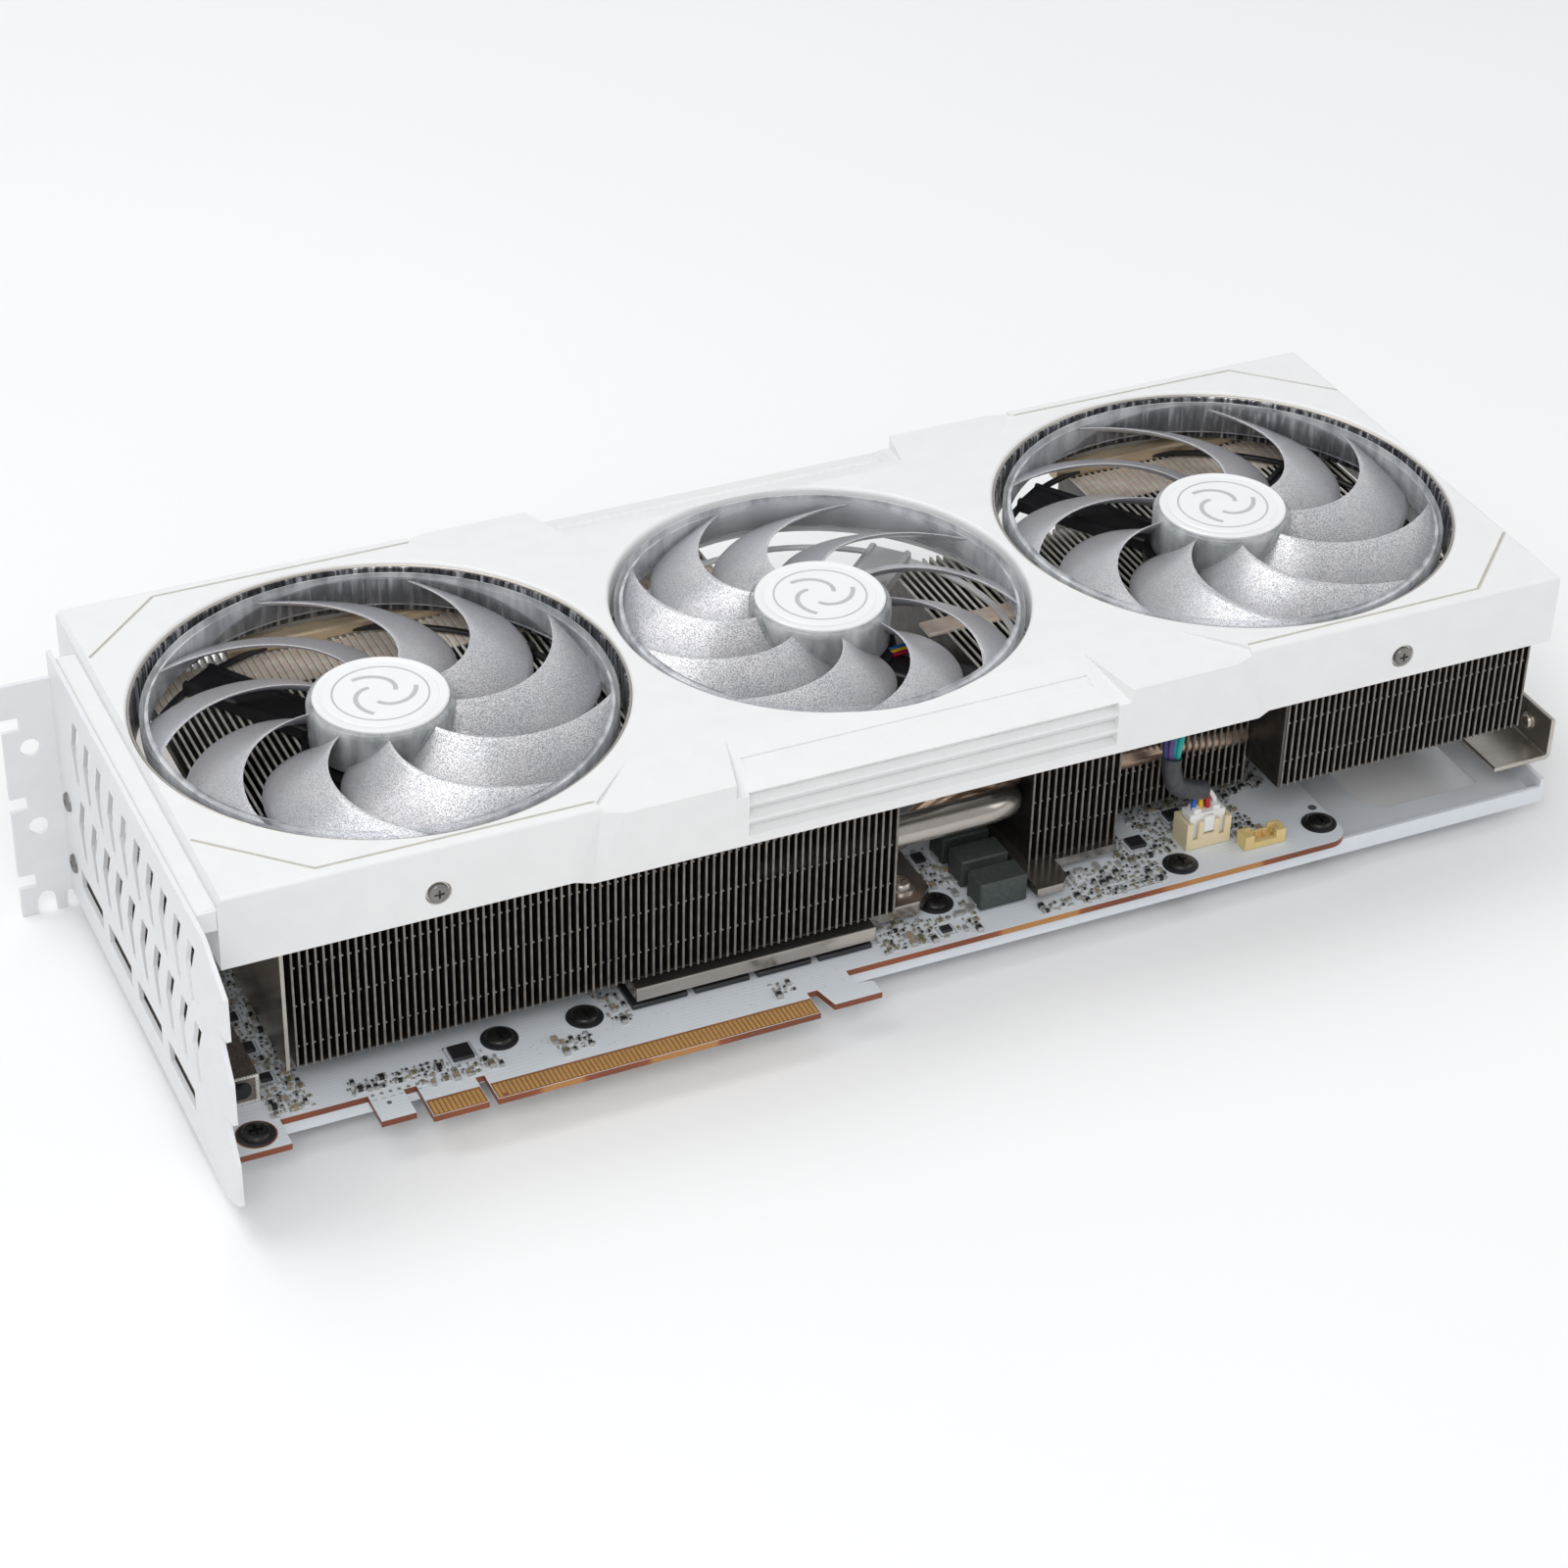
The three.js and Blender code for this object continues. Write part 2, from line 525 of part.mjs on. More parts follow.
// The origin moves to the middle of the box's base.
const extent = new THREE.Box3().setFromObject(card);
const middle = extent.getCenter(new THREE.Vector3());
for (const mesh of card.children) mesh.geometry.translate(-middle.x, -middle.y, -extent.min.z);

export default card;
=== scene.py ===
"""Looks of a white graphics card with three fans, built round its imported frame.

Sizes and places are in card millimetres: x runs from the slot bracket's outer face to the far
end, y from the edge connector's lower edge upwards, z from the board's face to the fans.
"""

import json
import math
import random

import bmesh
import bpy
from mathutils import Matrix, Vector


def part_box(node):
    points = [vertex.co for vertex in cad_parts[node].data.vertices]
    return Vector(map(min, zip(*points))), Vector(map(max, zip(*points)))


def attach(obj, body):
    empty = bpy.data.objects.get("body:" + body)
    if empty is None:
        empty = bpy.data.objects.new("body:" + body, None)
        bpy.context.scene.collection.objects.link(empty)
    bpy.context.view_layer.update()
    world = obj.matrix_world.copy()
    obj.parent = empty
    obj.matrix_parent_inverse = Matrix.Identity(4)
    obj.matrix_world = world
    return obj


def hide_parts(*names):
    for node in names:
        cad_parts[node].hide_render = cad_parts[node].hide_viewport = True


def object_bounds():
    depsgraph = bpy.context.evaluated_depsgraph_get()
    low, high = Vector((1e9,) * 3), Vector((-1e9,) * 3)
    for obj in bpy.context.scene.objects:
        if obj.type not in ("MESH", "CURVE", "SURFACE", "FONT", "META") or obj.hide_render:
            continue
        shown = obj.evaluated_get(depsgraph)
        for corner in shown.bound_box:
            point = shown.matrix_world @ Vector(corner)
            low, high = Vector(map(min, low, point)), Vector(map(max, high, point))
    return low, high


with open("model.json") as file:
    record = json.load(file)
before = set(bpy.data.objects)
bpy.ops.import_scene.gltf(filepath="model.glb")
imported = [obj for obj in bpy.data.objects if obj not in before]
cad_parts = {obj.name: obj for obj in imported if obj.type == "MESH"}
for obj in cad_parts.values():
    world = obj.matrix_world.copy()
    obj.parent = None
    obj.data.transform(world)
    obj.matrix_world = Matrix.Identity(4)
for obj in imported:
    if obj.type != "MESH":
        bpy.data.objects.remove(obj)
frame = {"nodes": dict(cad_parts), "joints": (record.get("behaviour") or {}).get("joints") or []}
cad_bounds = [list(corner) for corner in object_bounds()]

MM = 0.001
CARD = "card"
BRACKET_THICK = 1.0
BOARD_THICK = 1.57
ORIGIN = Vector((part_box("io_bracket")[1].x - BRACKET_THICK * MM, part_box("pcb")[0].y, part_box("pcb")[1].z))


def card_box(node):
    """A CAD node's lowest and highest corner, in card millimetres."""
    return [(corner - ORIGIN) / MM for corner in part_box(node)]


def joint_place(name):
    """Where a hinge stands, in card millimetres."""
    joint = next(j for j in frame["joints"] if j["name"] == name)
    return (Vector(joint["pos_m"]) - ORIGIN) / MM


def spans(node):
    """A CAD node's limits along x, y and z, in card millimetres."""
    return list(zip(*card_box(node)))


# ---- shapes ----
class Shape:
    """Vertices in card millimetres, faces, and a material number for each face."""

    def __init__(self):
        self.verts, self.faces, self.mats = [], [], []

    def add(self, verts, faces, mat=0):
        base = len(self.verts)
        self.verts += [Vector(v) for v in verts]
        self.faces += [[base + i for i in face] for face in faces]
        self.mats += [mat] * len(faces)
        return self

    def join(self, other, matrix=Matrix.Identity(4)):
        base = len(self.verts)
        self.verts += [matrix @ v for v in other.verts]
        self.faces += [[base + i for i in face] for face in other.faces]
        self.mats += other.mats
        return self

    def loft(self, rings, mat=0, closed=False):
        """A skin through rings of points, capped at both ends unless it closes up."""
        width, count = len(rings[0]), len(rings)
        faces = []
        for r in range(count if closed else count - 1):
            s = (r + 1) % count
            for i in range(width):
                j = (i + 1) % width
                faces.append([r * width + i, r * width + j, s * width + j, s * width + i])
        if not closed:
            faces.append(list(range(width))[::-1])
            faces.append([(count - 1) * width + i for i in range(width)])
        return self.add([p for ring in rings for p in ring], faces, mat)

    def block(self, x, y, z, mat=0, chamfer=0.0):
        """A block between pairs of limits, with chamfered upright and top edges."""
        (x0, x1), (y0, y1), (z0, z1) = x, y, z
        if not chamfer:
            return self.prism([(x0, y0), (x1, y0), (x1, y1), (x0, y1)], z0, z1, mat)
        c = chamfer
        outline = [(x0 + c, y0), (x1 - c, y0), (x1, y0 + c), (x1, y1 - c),
                   (x1 - c, y1), (x0 + c, y1), (x0, y1 - c), (x0, y0 + c)]
        levels = [(outline, z0), (outline, z1 - c), (inset(outline, c), z1)]
        return self.loft([[(*p, z) for p in level] for level, z in levels], mat)

    def prism(self, outline, z0, z1, mat=0):
        return self.loft([[(*p, z) for p in outline] for z in (z0, z1)], mat)

    def along_x(self, outline, x0, x1, mat=0):
        """An outline in (y, z), running from x0 to x1."""
        return self.loft([[(x, *p) for p in outline] for x in (x0, x1)], mat)

    def along_y(self, outline, y0, y1, mat=0):
        """An outline in (x, z), running from y0 to y1."""
        return self.loft([[(a, y, b) for a, b in outline] for y in (y0, y1)], mat)

    def turned(self, profile, x=0.0, y=0.0, sides=96, mat=0):
        """A closed (radius, z) profile turned about the upright line at (x, y)."""
        turns = [2 * math.pi * i / sides for i in range(sides)]
        rings = [[(x + r * math.cos(t), y + r * math.sin(t), z) for r, z in profile] for t in turns]
        return self.loft(rings, mat, closed=True)

    def tube(self, points, radius, sides):
        """A round tube on a smooth curve through the points."""
        path = smooth_path(points)
        side = (path[1] - path[0]).normalized().orthogonal().normalized()
        turns = [2 * math.pi * k / sides for k in range(sides)]
        rings = []
        for i, place in enumerate(path):
            ahead = (path[min(i + 1, len(path) - 1)] - path[max(i - 1, 0)]).normalized()
            side = (side - ahead * side.dot(ahead)).normalized()
            other = ahead.cross(side)
            rings.append([place + (side * math.cos(t) + other * math.sin(t)) * radius for t in turns])
        return self.loft(rings)


def smooth_path(points, steps=6):
    """Points along a Catmull-Rom curve."""
    p = [Vector(q) for q in points]
    p = [p[0] * 2 - p[1]] + p + [p[-1] * 2 - p[-2]]
    path = []
    for i in range(1, len(p) - 2):
        for t in (k / steps for k in range(steps)):
            a = p[i] * 2
            b = (p[i + 1] - p[i - 1]) * t
            c = (p[i - 1] * 2 - p[i] * 5 + p[i + 1] * 4 - p[i + 2]) * t * t
            d = (p[i] * 3 - p[i - 1] - p[i + 1] * 3 + p[i + 2]) * t ** 3
            path.append((a + b + c + d) / 2)
    return path + [p[-2]]


def mitre(first, second):
    """The step to the left, one unit from both lines, at a corner between two directions."""
    n1, n2 = Vector((-first.y, first.x)), Vector((-second.y, second.x))
    return (n1 + n2) / (1 + n1.dot(n2))


def inset(outline, distance):
    """An anticlockwise outline drawn in by a distance, with mitred corners."""
    moved = []
    for i, point in enumerate(outline):
        before, here, after = (Vector(p) for p in (outline[i - 1], point, outline[(i + 1) % len(outline)]))
        step = mitre((here - before).normalized(), (after - here).normalized())
        moved.append(tuple(here + step * distance))
    return moved


def strip(points, width):
    """The outline of a line of some width through points in (x, y)."""
    p = [Vector(q) for q in points]
    left, right = [], []
    for i, here in enumerate(p):
        first = (here - p[i - 1]).normalized() if i else (p[1] - p[0]).normalized()
        second = (p[i + 1] - here).normalized() if i < len(p) - 1 else first
        side = mitre(first, second) * width / 2
        left.append(tuple(here + side))
        right.append(tuple(here - side))
    return right + left[::-1]


def rounded(x0, x1, y0, y1, radius, steps=5):
    """An anticlockwise rectangle with round corners."""
    outline = []
    corners = [(x1 - radius, y0 + radius, -90), (x1 - radius, y1 - radius, 0),
               (x0 + radius, y1 - radius, 90), (x0 + radius, y0 + radius, 180)]
    for cx, cy, start in corners:
        for k in range(steps + 1):
            angle = math.radians(start + 90 * k / steps)
            outline.append((cx + radius * math.cos(angle), cy + radius * math.sin(angle)))
    return outline


# ---- from shapes to objects ----
def raw_object(name, shape):
    mesh = bpy.data.meshes.new(name)
    mesh.from_pydata([ORIGIN + v * MM for v in shape.verts], [], shape.faces)
    mesh.polygons.foreach_set("material_index", shape.mats)
    work = bmesh.new()
    work.from_mesh(mesh)
    bmesh.ops.remove_doubles(work, verts=work.verts, dist=1e-8)
    bmesh.ops.recalc_face_normals(work, faces=work.faces)
    work.to_mesh(mesh)
    work.free()
    return linked(bpy.data.objects.new(name, mesh))


def linked(obj):
    bpy.context.scene.collection.objects.link(obj)
    return obj


def apply_modifiers(obj):
    """The object's mesh becomes what its modifiers make of it."""
    graph = bpy.context.evaluated_depsgraph_get()
    made = bpy.data.meshes.new_from_object(obj.evaluated_get(graph))
    obj.modifiers.clear()
    obj.data = made


def carve(obj, *cutters):
    """Cuts each cutter's shape out of obj, one after another."""
    tools = [raw_object(f"cutter_{i}", shape) for i, shape in enumerate(cutters)]
    for tool in tools:
        cut = obj.modifiers.new("cut", "BOOLEAN")
        cut.object = tool
        cut.operation = "DIFFERENCE"
        cut.solver = "MANIFOLD"
    apply_modifiers(obj)
    for tool in tools:
        bpy.data.objects.remove(tool)
    return obj


def flatten(obj):
    """Joins coplanar triangles again."""
    work = bmesh.new()
    work.from_mesh(obj.data)
    bmesh.ops.remove_doubles(work, verts=work.verts, dist=1e-7)
    bmesh.ops.dissolve_limit(work, angle_limit=math.radians(0.6), verts=work.verts, edges=work.edges)
    work.to_mesh(obj.data)
    work.free()
    return obj


def bevel_edges(obj, width):
    bevel = obj.modifiers.new("bevel", "BEVEL")
    bevel.width = width * MM
    bevel.segments = 2
    bevel.limit_method = "ANGLE"
    bevel.angle_limit = math.radians(32)
    apply_modifiers(obj)


def dress(obj, materials, slot, replaces=(), body=CARD, bevel=0.0, sharp=40.0):
    """Gives a finished mesh its edges, materials and body."""
    if bevel:
        bevel_edges(obj, bevel)
    mesh = obj.data
    chosen = [face.material_index for face in mesh.polygons]
    mesh.materials.clear()
    for mat in materials if isinstance(materials, list) else [materials]:
        mesh.materials.append(mat)
    mesh.polygons.foreach_set("material_index", chosen)
    mesh.shade_smooth()
    mesh.set_sharp_from_angle(angle=math.radians(sharp))
    if bevel:
        weighted = obj.modifiers.new("weighted_normals", "WEIGHTED_NORMAL")
        weighted.keep_sharp = True
    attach(obj, body)
    if replaces:
        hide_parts(*([replaces] if isinstance(replaces, str) else replaces))
    return obj


def piece(name, shape, materials, slot, **options):
    return dress(raw_object(name, shape), materials, slot, **options)


def node_piece(name, node, material, slot, bevel):
    """A CAD node's own shape as clean polygons with soft edges, which takes the node's place."""
    copy = linked(bpy.data.objects.new(name, frame["nodes"][node].data.copy()))
    return dress(flatten(copy), material, slot, replaces=node, bevel=bevel)


# ---- materials ----
def new_material(name):
    mat = bpy.data.materials.new(name)
    mat.use_nodes = True
    return mat, mat.node_tree, mat.node_tree.nodes["Principled BSDF"]


def give(tree, socket, value):
    """A socket gets a fixed value or another node's output."""
    if isinstance(value, bpy.types.NodeSocket):
        tree.links.new(value, socket)
    else:
        socket.default_value = value


def fill(tree, node, **values):
    """Gives a node's inputs their values, by name."""
    for name, value in values.items():
        give(tree, node.inputs[name.replace("_", " ")], value)
    return node


def add_node(tree, kind, **values):
    return fill(tree, tree.nodes.new(f"ShaderNode{kind}"), **values)


def object_place(tree, **mapping):
    """Places in the object's own space, scaled or turned."""
    coord = tree.nodes.new("ShaderNodeTexCoord")
    return add_node(tree, "Mapping", Vector=coord.outputs["Object"], **mapping).outputs["Vector"]


def noise(tree, size, stretch=(1, 1, 1), detail=3.0):
    """Noise in the object's own space, with spots of a size in millimetres."""
    place = object_place(tree, Scale=stretch)
    return add_node(tree, "TexNoise", Vector=place, Scale=1 / (size * MM), Detail=detail).outputs["Fac"]


def ramp(tree, value, stops):
    """A value turned into colours; stops are (place, colour)."""
    node = add_node(tree, "ValToRGB", Fac=value)
    while len(node.color_ramp.elements) < len(stops):
        node.color_ramp.elements.new(0.5)
    for element, (place, colour) in zip(node.color_ramp.elements, stops):
        element.position = place
        element.color = (*colour, 1)
    return node.outputs["Color"]


def remap(tree, value, low, high, start=0.3, end=0.7):
    node = add_node(tree, "MapRange", Value=value, From_Min=start, From_Max=end, To_Min=low, To_Max=high)
    return node.outputs["Result"]


def blend_colours(tree, fac, first, second, kind="MIX"):
    """Two colours mixed; each is a fixed colour or another node's output."""
    node = tree.nodes.new("ShaderNodeMix")
    node.data_type = "RGBA"
    node.blend_type = kind
    give(tree, node.inputs[0], fac)
    for socket, value in ((node.inputs[6], first), (node.inputs[7], second)):
        give(tree, socket, (*value, 1) if isinstance(value, tuple) else value)
    return node.outputs[2]


def add_bump(tree, shader, height, strength, depth=0.05):
    bump = add_node(tree, "Bump", Strength=strength, Distance=depth * MM, Height=height)
    tree.links.new(bump.outputs["Normal"], shader.inputs["Normal"])


def surface(name, colour, roughness, metallic=0.0, mottle=0.04, mottle_size=6.0, bump=0.15,
            bump_size=0.35, stretch=(1, 1, 1), coat=0.0):
    """A plain finish with faint colour variation, uneven gloss and a fine texture."""
    mat, tree, shader = new_material(name)
    dark = [c * (1 - mottle) for c in colour]
    light = [min(1.0, c * (1 + mottle)) for c in colour]
    spots = noise(tree, mottle_size, stretch)
    fine = noise(tree, bump_size, stretch, detail=5)
    fill(tree, shader, Base_Color=ramp(tree, spots, [(0.35, dark), (0.65, light)]),
         Roughness=remap(tree, fine, roughness * 0.8, roughness * 1.2), Metallic=metallic, Coat_Weight=coat)
    add_bump(tree, shader, fine, bump)
    return mat


BLACK_TO_WHITE = ((0, 0, 0), (1, 1, 1))


def step_ramp(tree, value, start, end):
    """Black up to one value and white from another."""
    return ramp(tree, value, list(zip((start, end), BLACK_TO_WHITE)))


def board_material():
    """White solder mask with faint traces under it, and a rust-brown cut edge."""
    mat, tree, shader = new_material("white_board")
    waves = []
    for turn, size in ((45, 0.9), (0, 1.1)):
        place = object_place(tree, Rotation=(0, 0, math.radians(turn)))
        wave = add_node(tree, "TexWave", Vector=place, Scale=0.314 / (size * MM), Distortion=0.0)
        wave.bands_direction = "Y"
        waves.append(step_ramp(tree, wave.outputs["Fac"], 0.35, 0.6))
    fields = step_ramp(tree, noise(tree, 14, detail=0), 0.49, 0.51)
    quiet = step_ramp(tree, noise(tree, 9, detail=0), 0.42, 0.46)
    traces = blend_colours(tree, fields, *waves)
    traces = blend_colours(tree, quiet, (0.5, 0.5, 0.5), traces)
    mask = blend_colours(tree, traces, (0.715, 0.755, 0.80), (0.76, 0.80, 0.84))
    normal = tree.nodes.new("ShaderNodeNewGeometry").outputs["Normal"]
    upright = tree.nodes.new("ShaderNodeMath")
    upright.operation = "ABSOLUTE"
    give(tree, upright.inputs[0], add_node(tree, "SeparateXYZ", Vector=normal).outputs["Z"])
    flat = remap(tree, upright.outputs[0], 0, 1, 0.5, 0.75)
    edge = ramp(tree, noise(tree, 22, (1, 0.05, 0.05), detail=0),
                [(0.40, (0.17, 0.04, 0.01)), (0.55, (0.25, 0.06, 0.014)), (0.58, (0.42, 0.19, 0.05))])
    fill(tree, shader, Base_Color=blend_colours(tree, flat, edge, mask),
         Roughness=remap(tree, noise(tree, 0.5), 0.28, 0.42))
    add_bump(tree, shader, traces, 0.2, 0.02)
    return mat


def smoky_material():
    """Grey plastic with a fine sparkle, with painted shade that darkens it low down, painted light high up,
    and a painted sheen that turns it paler where it is seen edge on.
    """
    mat, tree, shader = new_material("smoky_plastic")
    sparkle = noise(tree, 0.28, detail=2)
    grain = ramp(tree, sparkle, [(0.38, (0.30, 0.30, 0.315)), (0.5, (0.56, 0.56, 0.58)),
                                 (0.62, (0.92, 0.92, 0.94))])
    tone = ramp(tree, noise(tree, 9), [(0.35, (0.86, 0.86, 0.88)), (0.65, (1, 0.99, 0.98))])
    body = blend_colours(tree, 1.0, grain, tone, "MULTIPLY")
    place = add_node(tree, "SeparateXYZ", Vector=tree.nodes.new("ShaderNodeTexCoord").outputs["Object"])
    # painted shade and light: darker low on the blades and lighter high up, by height
    low, high = (ORIGIN.z + z * MM for z in (45.8, 52.8))
    painted_light_and_shade = ramp(tree, remap(tree, place.outputs["Z"], 0, 1, low, high),
                 [(0.0, (0.34, 0.34, 0.35)), (0.45, (0.68, 0.68, 0.69)), (0.85, (1, 1, 1))])
    body = blend_colours(tree, 1.0, body, painted_light_and_shade, "MULTIPLY")
    # painted sheen: paler where the surface is seen edge on
    painted_sheen_weight = add_node(tree, "LayerWeight", Blend=0.35).outputs["Facing"]
    fill(tree, shader, Base_Color=blend_colours(tree, painted_sheen_weight, body, (0.62, 0.62, 0.66)),
         Roughness=remap(tree, sparkle, 0.42, 0.24), Metallic=0.35, Coat_Weight=0.35, Coat_Roughness=0.18)
    add_bump(tree, shader, sparkle, 0.12, 0.03)
    return mat


def wall_material():
    """Smoked chrome with upright streaks, which run round a fan opening."""
    mat, tree, shader = new_material("smoked_chrome")
    streaks = noise(tree, 1.1, (1, 1, 0.12), 2)
    colour = ramp(tree, streaks, [(0.40, (0.02, 0.02, 0.024)), (0.54, (0.10, 0.10, 0.11)),
                                  (0.66, (0.45, 0.45, 0.46))])
    fill(tree, shader, Base_Color=colour, Roughness=0.2, Metallic=0.5)
    add_bump(tree, shader, streaks, 0.4, 0.3)
    return mat


def clear_material(name, tint, body_share):
    """Clear glossy plastic: mostly see-through, with a mirror's shine where it is seen edge on."""
    mat, tree, shader = new_material(name)
    haze = ramp(tree, noise(tree, 3.5, (1, 1, 0.35), 2),
                [(0.36, (0.56, 0.57, 0.59)), (0.50, (0.80, 0.81, 0.83)), (0.62, (0.98, 0.98, 0.99))])
    fill(tree, shader, Base_Color=haze, Roughness=0.05)
    fresnel = add_node(tree, "Fresnel", IOR=1.5).outputs["Fac"]
    mix = add_node(tree, "MixShader", Fac=remap(tree, fresnel, body_share, 0.95, 0.03, 0.75))
    through = add_node(tree, "BsdfTransparent", Color=(*tint, 1))
    give(tree, mix.inputs[1], through.outputs["BSDF"])
    give(tree, mix.inputs[2], shader.outputs["BSDF"])
    fill(tree, tree.nodes["Material Output"], Surface=mix.outputs["Shader"])
    return mat


WHITE_PLASTIC = surface("white_plastic", (0.80, 0.80, 0.80), 0.42, mottle=0.012, bump=0.10, bump_size=0.25)
GLOSS_WHITE = surface("gloss_white", (0.86, 0.86, 0.86), 0.22, mottle=0.01, bump=0.02, coat=0.4)
WHITE_METAL = surface("white_metal", (0.76, 0.77, 0.785), 0.40, mottle=0.012, bump=0.16, bump_size=0.5)
PALE_METAL = surface("pale_metal", (0.72, 0.75, 0.79), 0.42, mottle=0.015, bump=0.14, bump_size=0.5)
GROOVE = surface("groove_beige", (0.52, 0.50, 0.44), 0.5, mottle=0.05, mottle_size=3)
MARK_GREY = surface("printed_grey", (0.50, 0.50, 0.51), 0.4, mottle=0.03)
BOARD = board_material()
GOLD = surface("gold", (0.95, 0.58, 0.22), 0.36, 0.6, 0.06, 1.2, 0.08)
RUST = surface("laminate", (0.28, 0.11, 0.035), 0.55, mottle=0.15, mottle_size=1.5, stretch=(0.3, 1, 3))
STEEL = surface("steel", (0.56, 0.52, 0.47), 0.32, 0.95, 0.07, 5, 0.2, 0.3, stretch=(0.15, 1, 1))
NICKEL = surface("nickel", (0.46, 0.425, 0.385), 0.22, 0.95, 0.12, 7, 0.1, stretch=(0.3, 1, 1))
COPPER = surface("copper_tinted", (0.46, 0.33, 0.25), 0.32, 0.9, 0.15, 5, 0.1)
# nickel bars: the tan tint is a painted reflection of warm light, and the lightness is painted light against
# the shade under the fans
NICKEL_PAINTED_WARM_LIGHT = surface("nickel_painted_warm_light", (0.72, 0.58, 0.40), 0.38, 0.45, 0.08, 6, 0.06)
# one fin metal in lit and shaded copies: painted shade on the sides, half shade on the edges, painted light on
# the tips
FIN_SIDE_PAINTED_SHADE = surface("fin_side_painted_shade", (0.085, 0.078, 0.072), 0.34, 0.85, 0.25, 3, 0.12)
FIN_EDGE_PAINTED_HALF_SHADE = surface("fin_edge_painted_half_shade", (0.20, 0.185, 0.165), 0.38, 0.5, 0.22, 2.2, 0.12)
FIN_TIP_PAINTED_LIGHT = surface("fin_tip_painted_light", (0.96, 0.90, 0.80), 0.40, 0.1, 0.14, 2.5, 0.12)
FIN_ROSE = surface("fin_rose", (1.0, 0.80, 0.67), 0.36, 0.1, 0.08, 2.5, 0.12)
SILVER_WALL = wall_material()
SOCKET_STEEL = surface("socket_steel", (0.26, 0.215, 0.185), 0.28, 0.85, 0.08, 6, 0.1)
BRIGHT = surface("bright_nickel", (0.78, 0.76, 0.72), 0.30, 0.6, 0.1, 2, 0.2)
OLIVE = surface("component_olive", (0.22, 0.19, 0.10), 0.40, 0.3, 0.2, 1, 0.2)
TEAL_STEEL = surface("motor_steel", (0.16, 0.22, 0.22), 0.22, 0.7, 0.1, bump=0.05)
BLACK = surface("black_plastic", (0.022, 0.022, 0.025), 0.38, mottle=0.2, bump=0.12)
SCREW_GREY = surface("screw_grey", (0.21, 0.205, 0.195), 0.34, 0.6, 0.2, bump=0.15)
BLACK_GLOSS = surface("black_gloss", (0.012, 0.012, 0.014), 0.12, mottle=0.2, bump=0.03)
BLACK_STEEL = surface("black_steel", (0.035, 0.033, 0.032), 0.30, 0.6, 0.2, bump=0.15)
FERRITE = surface("ferrite", (0.046, 0.057, 0.053), 0.55, 0, 0.15, 1.0, 0.5, 0.2)
CREAM = surface("cream_nylon", (0.78, 0.66, 0.43), 0.42, bump=0.1)
YELLOW_CREAM = surface("yellow_nylon", (0.72, 0.55, 0.24), 0.42, mottle=0.05, bump=0.1)
NYLON = surface("white_nylon", (0.82, 0.82, 0.80), 0.38, mottle=0.02, bump=0.08)
CERAMIC = surface("capacitor_ceramic", (0.36, 0.27, 0.17), 0.5, 0, 0.18, 1.0, 0.3)
TIN = surface("solder", (0.55, 0.545, 0.52), 0.34, 0.6, 0.1, 0.8, 0.3)
INK = surface("dark_ink", (0.10, 0.10, 0.11), 0.6, mottle=0.2)
SLEEVE = surface("lead_sleeve", (0.045, 0.046, 0.055), 0.48, 0, 0.2, 1.2, 0.7, 0.7)
GREEN = surface("substrate", (0.03, 0.14, 0.07), 0.35, mottle=0.1, bump=0.1)
SMOKY = smoky_material()
CLEAR = clear_material("clear_plastic", (0.95, 0.96, 0.97), 0.08)
CLEAR_HUB = clear_material("clear_hub", (0.80, 0.84, 0.84), 0.30)


def wire_material(name, colour):
    return surface(f"wire_{name}", colour, 0.35, mottle=0.06, mottle_size=2, bump=0.08)


# ---- screws ----
def screw_shape(radius, height, washer=0.0):
    """A pan head with a cross recess, standing on z = 0; material 1 is its washer."""
    edge = radius * 0.28
    profile = [(0, 0), (radius, 0), (radius, height - edge), (radius * 0.93, height - edge * 0.4),
               (radius * 0.8, height - edge * 0.08), (radius * 0.45, height), (0, height)]
    head = Shape().turned(profile, sides=36)
    long, short = (-radius * 0.5, radius * 0.5), (-radius * 0.11, radius * 0.11)
    depth = (height * 0.35, height + 1)
    recess = [Shape().block(long, short, depth), Shape().block(short, long, depth)]
    made = carve(raw_object("screw_master", head), *recess)
    shape = Shape()
    shape.add([(v.co - ORIGIN) / MM for v in made.data.vertices], [p.vertices for p in made.data.polygons])
    bpy.data.objects.remove(made)
    if washer:
        inner = radius * 0.9
        profile = [(inner, 0), (washer, 0), (washer, 0.12), (washer - 0.12, 0.22), (inner, 0.22)]
        shape.turned(profile, sides=40, mat=1)
    return shape


def placed(shape, places, turn=Matrix.Identity(4)):
    """Copies of a shape at several places, turned by a matrix first."""
    group = Shape()
    for place in places:
        group.join(shape, Matrix.Translation(Vector(place)) @ turn)
    return group


FACE_FRONT = Matrix.Rotation(math.radians(90), 4, "X")
FACE_BACK = Matrix.Rotation(math.radians(-90), 4, "X")
FACE_LEFT = Matrix.Rotation(math.radians(-90), 4, "Y")
FACE_DOWN = Matrix.Rotation(math.radians(180), 4, "X")

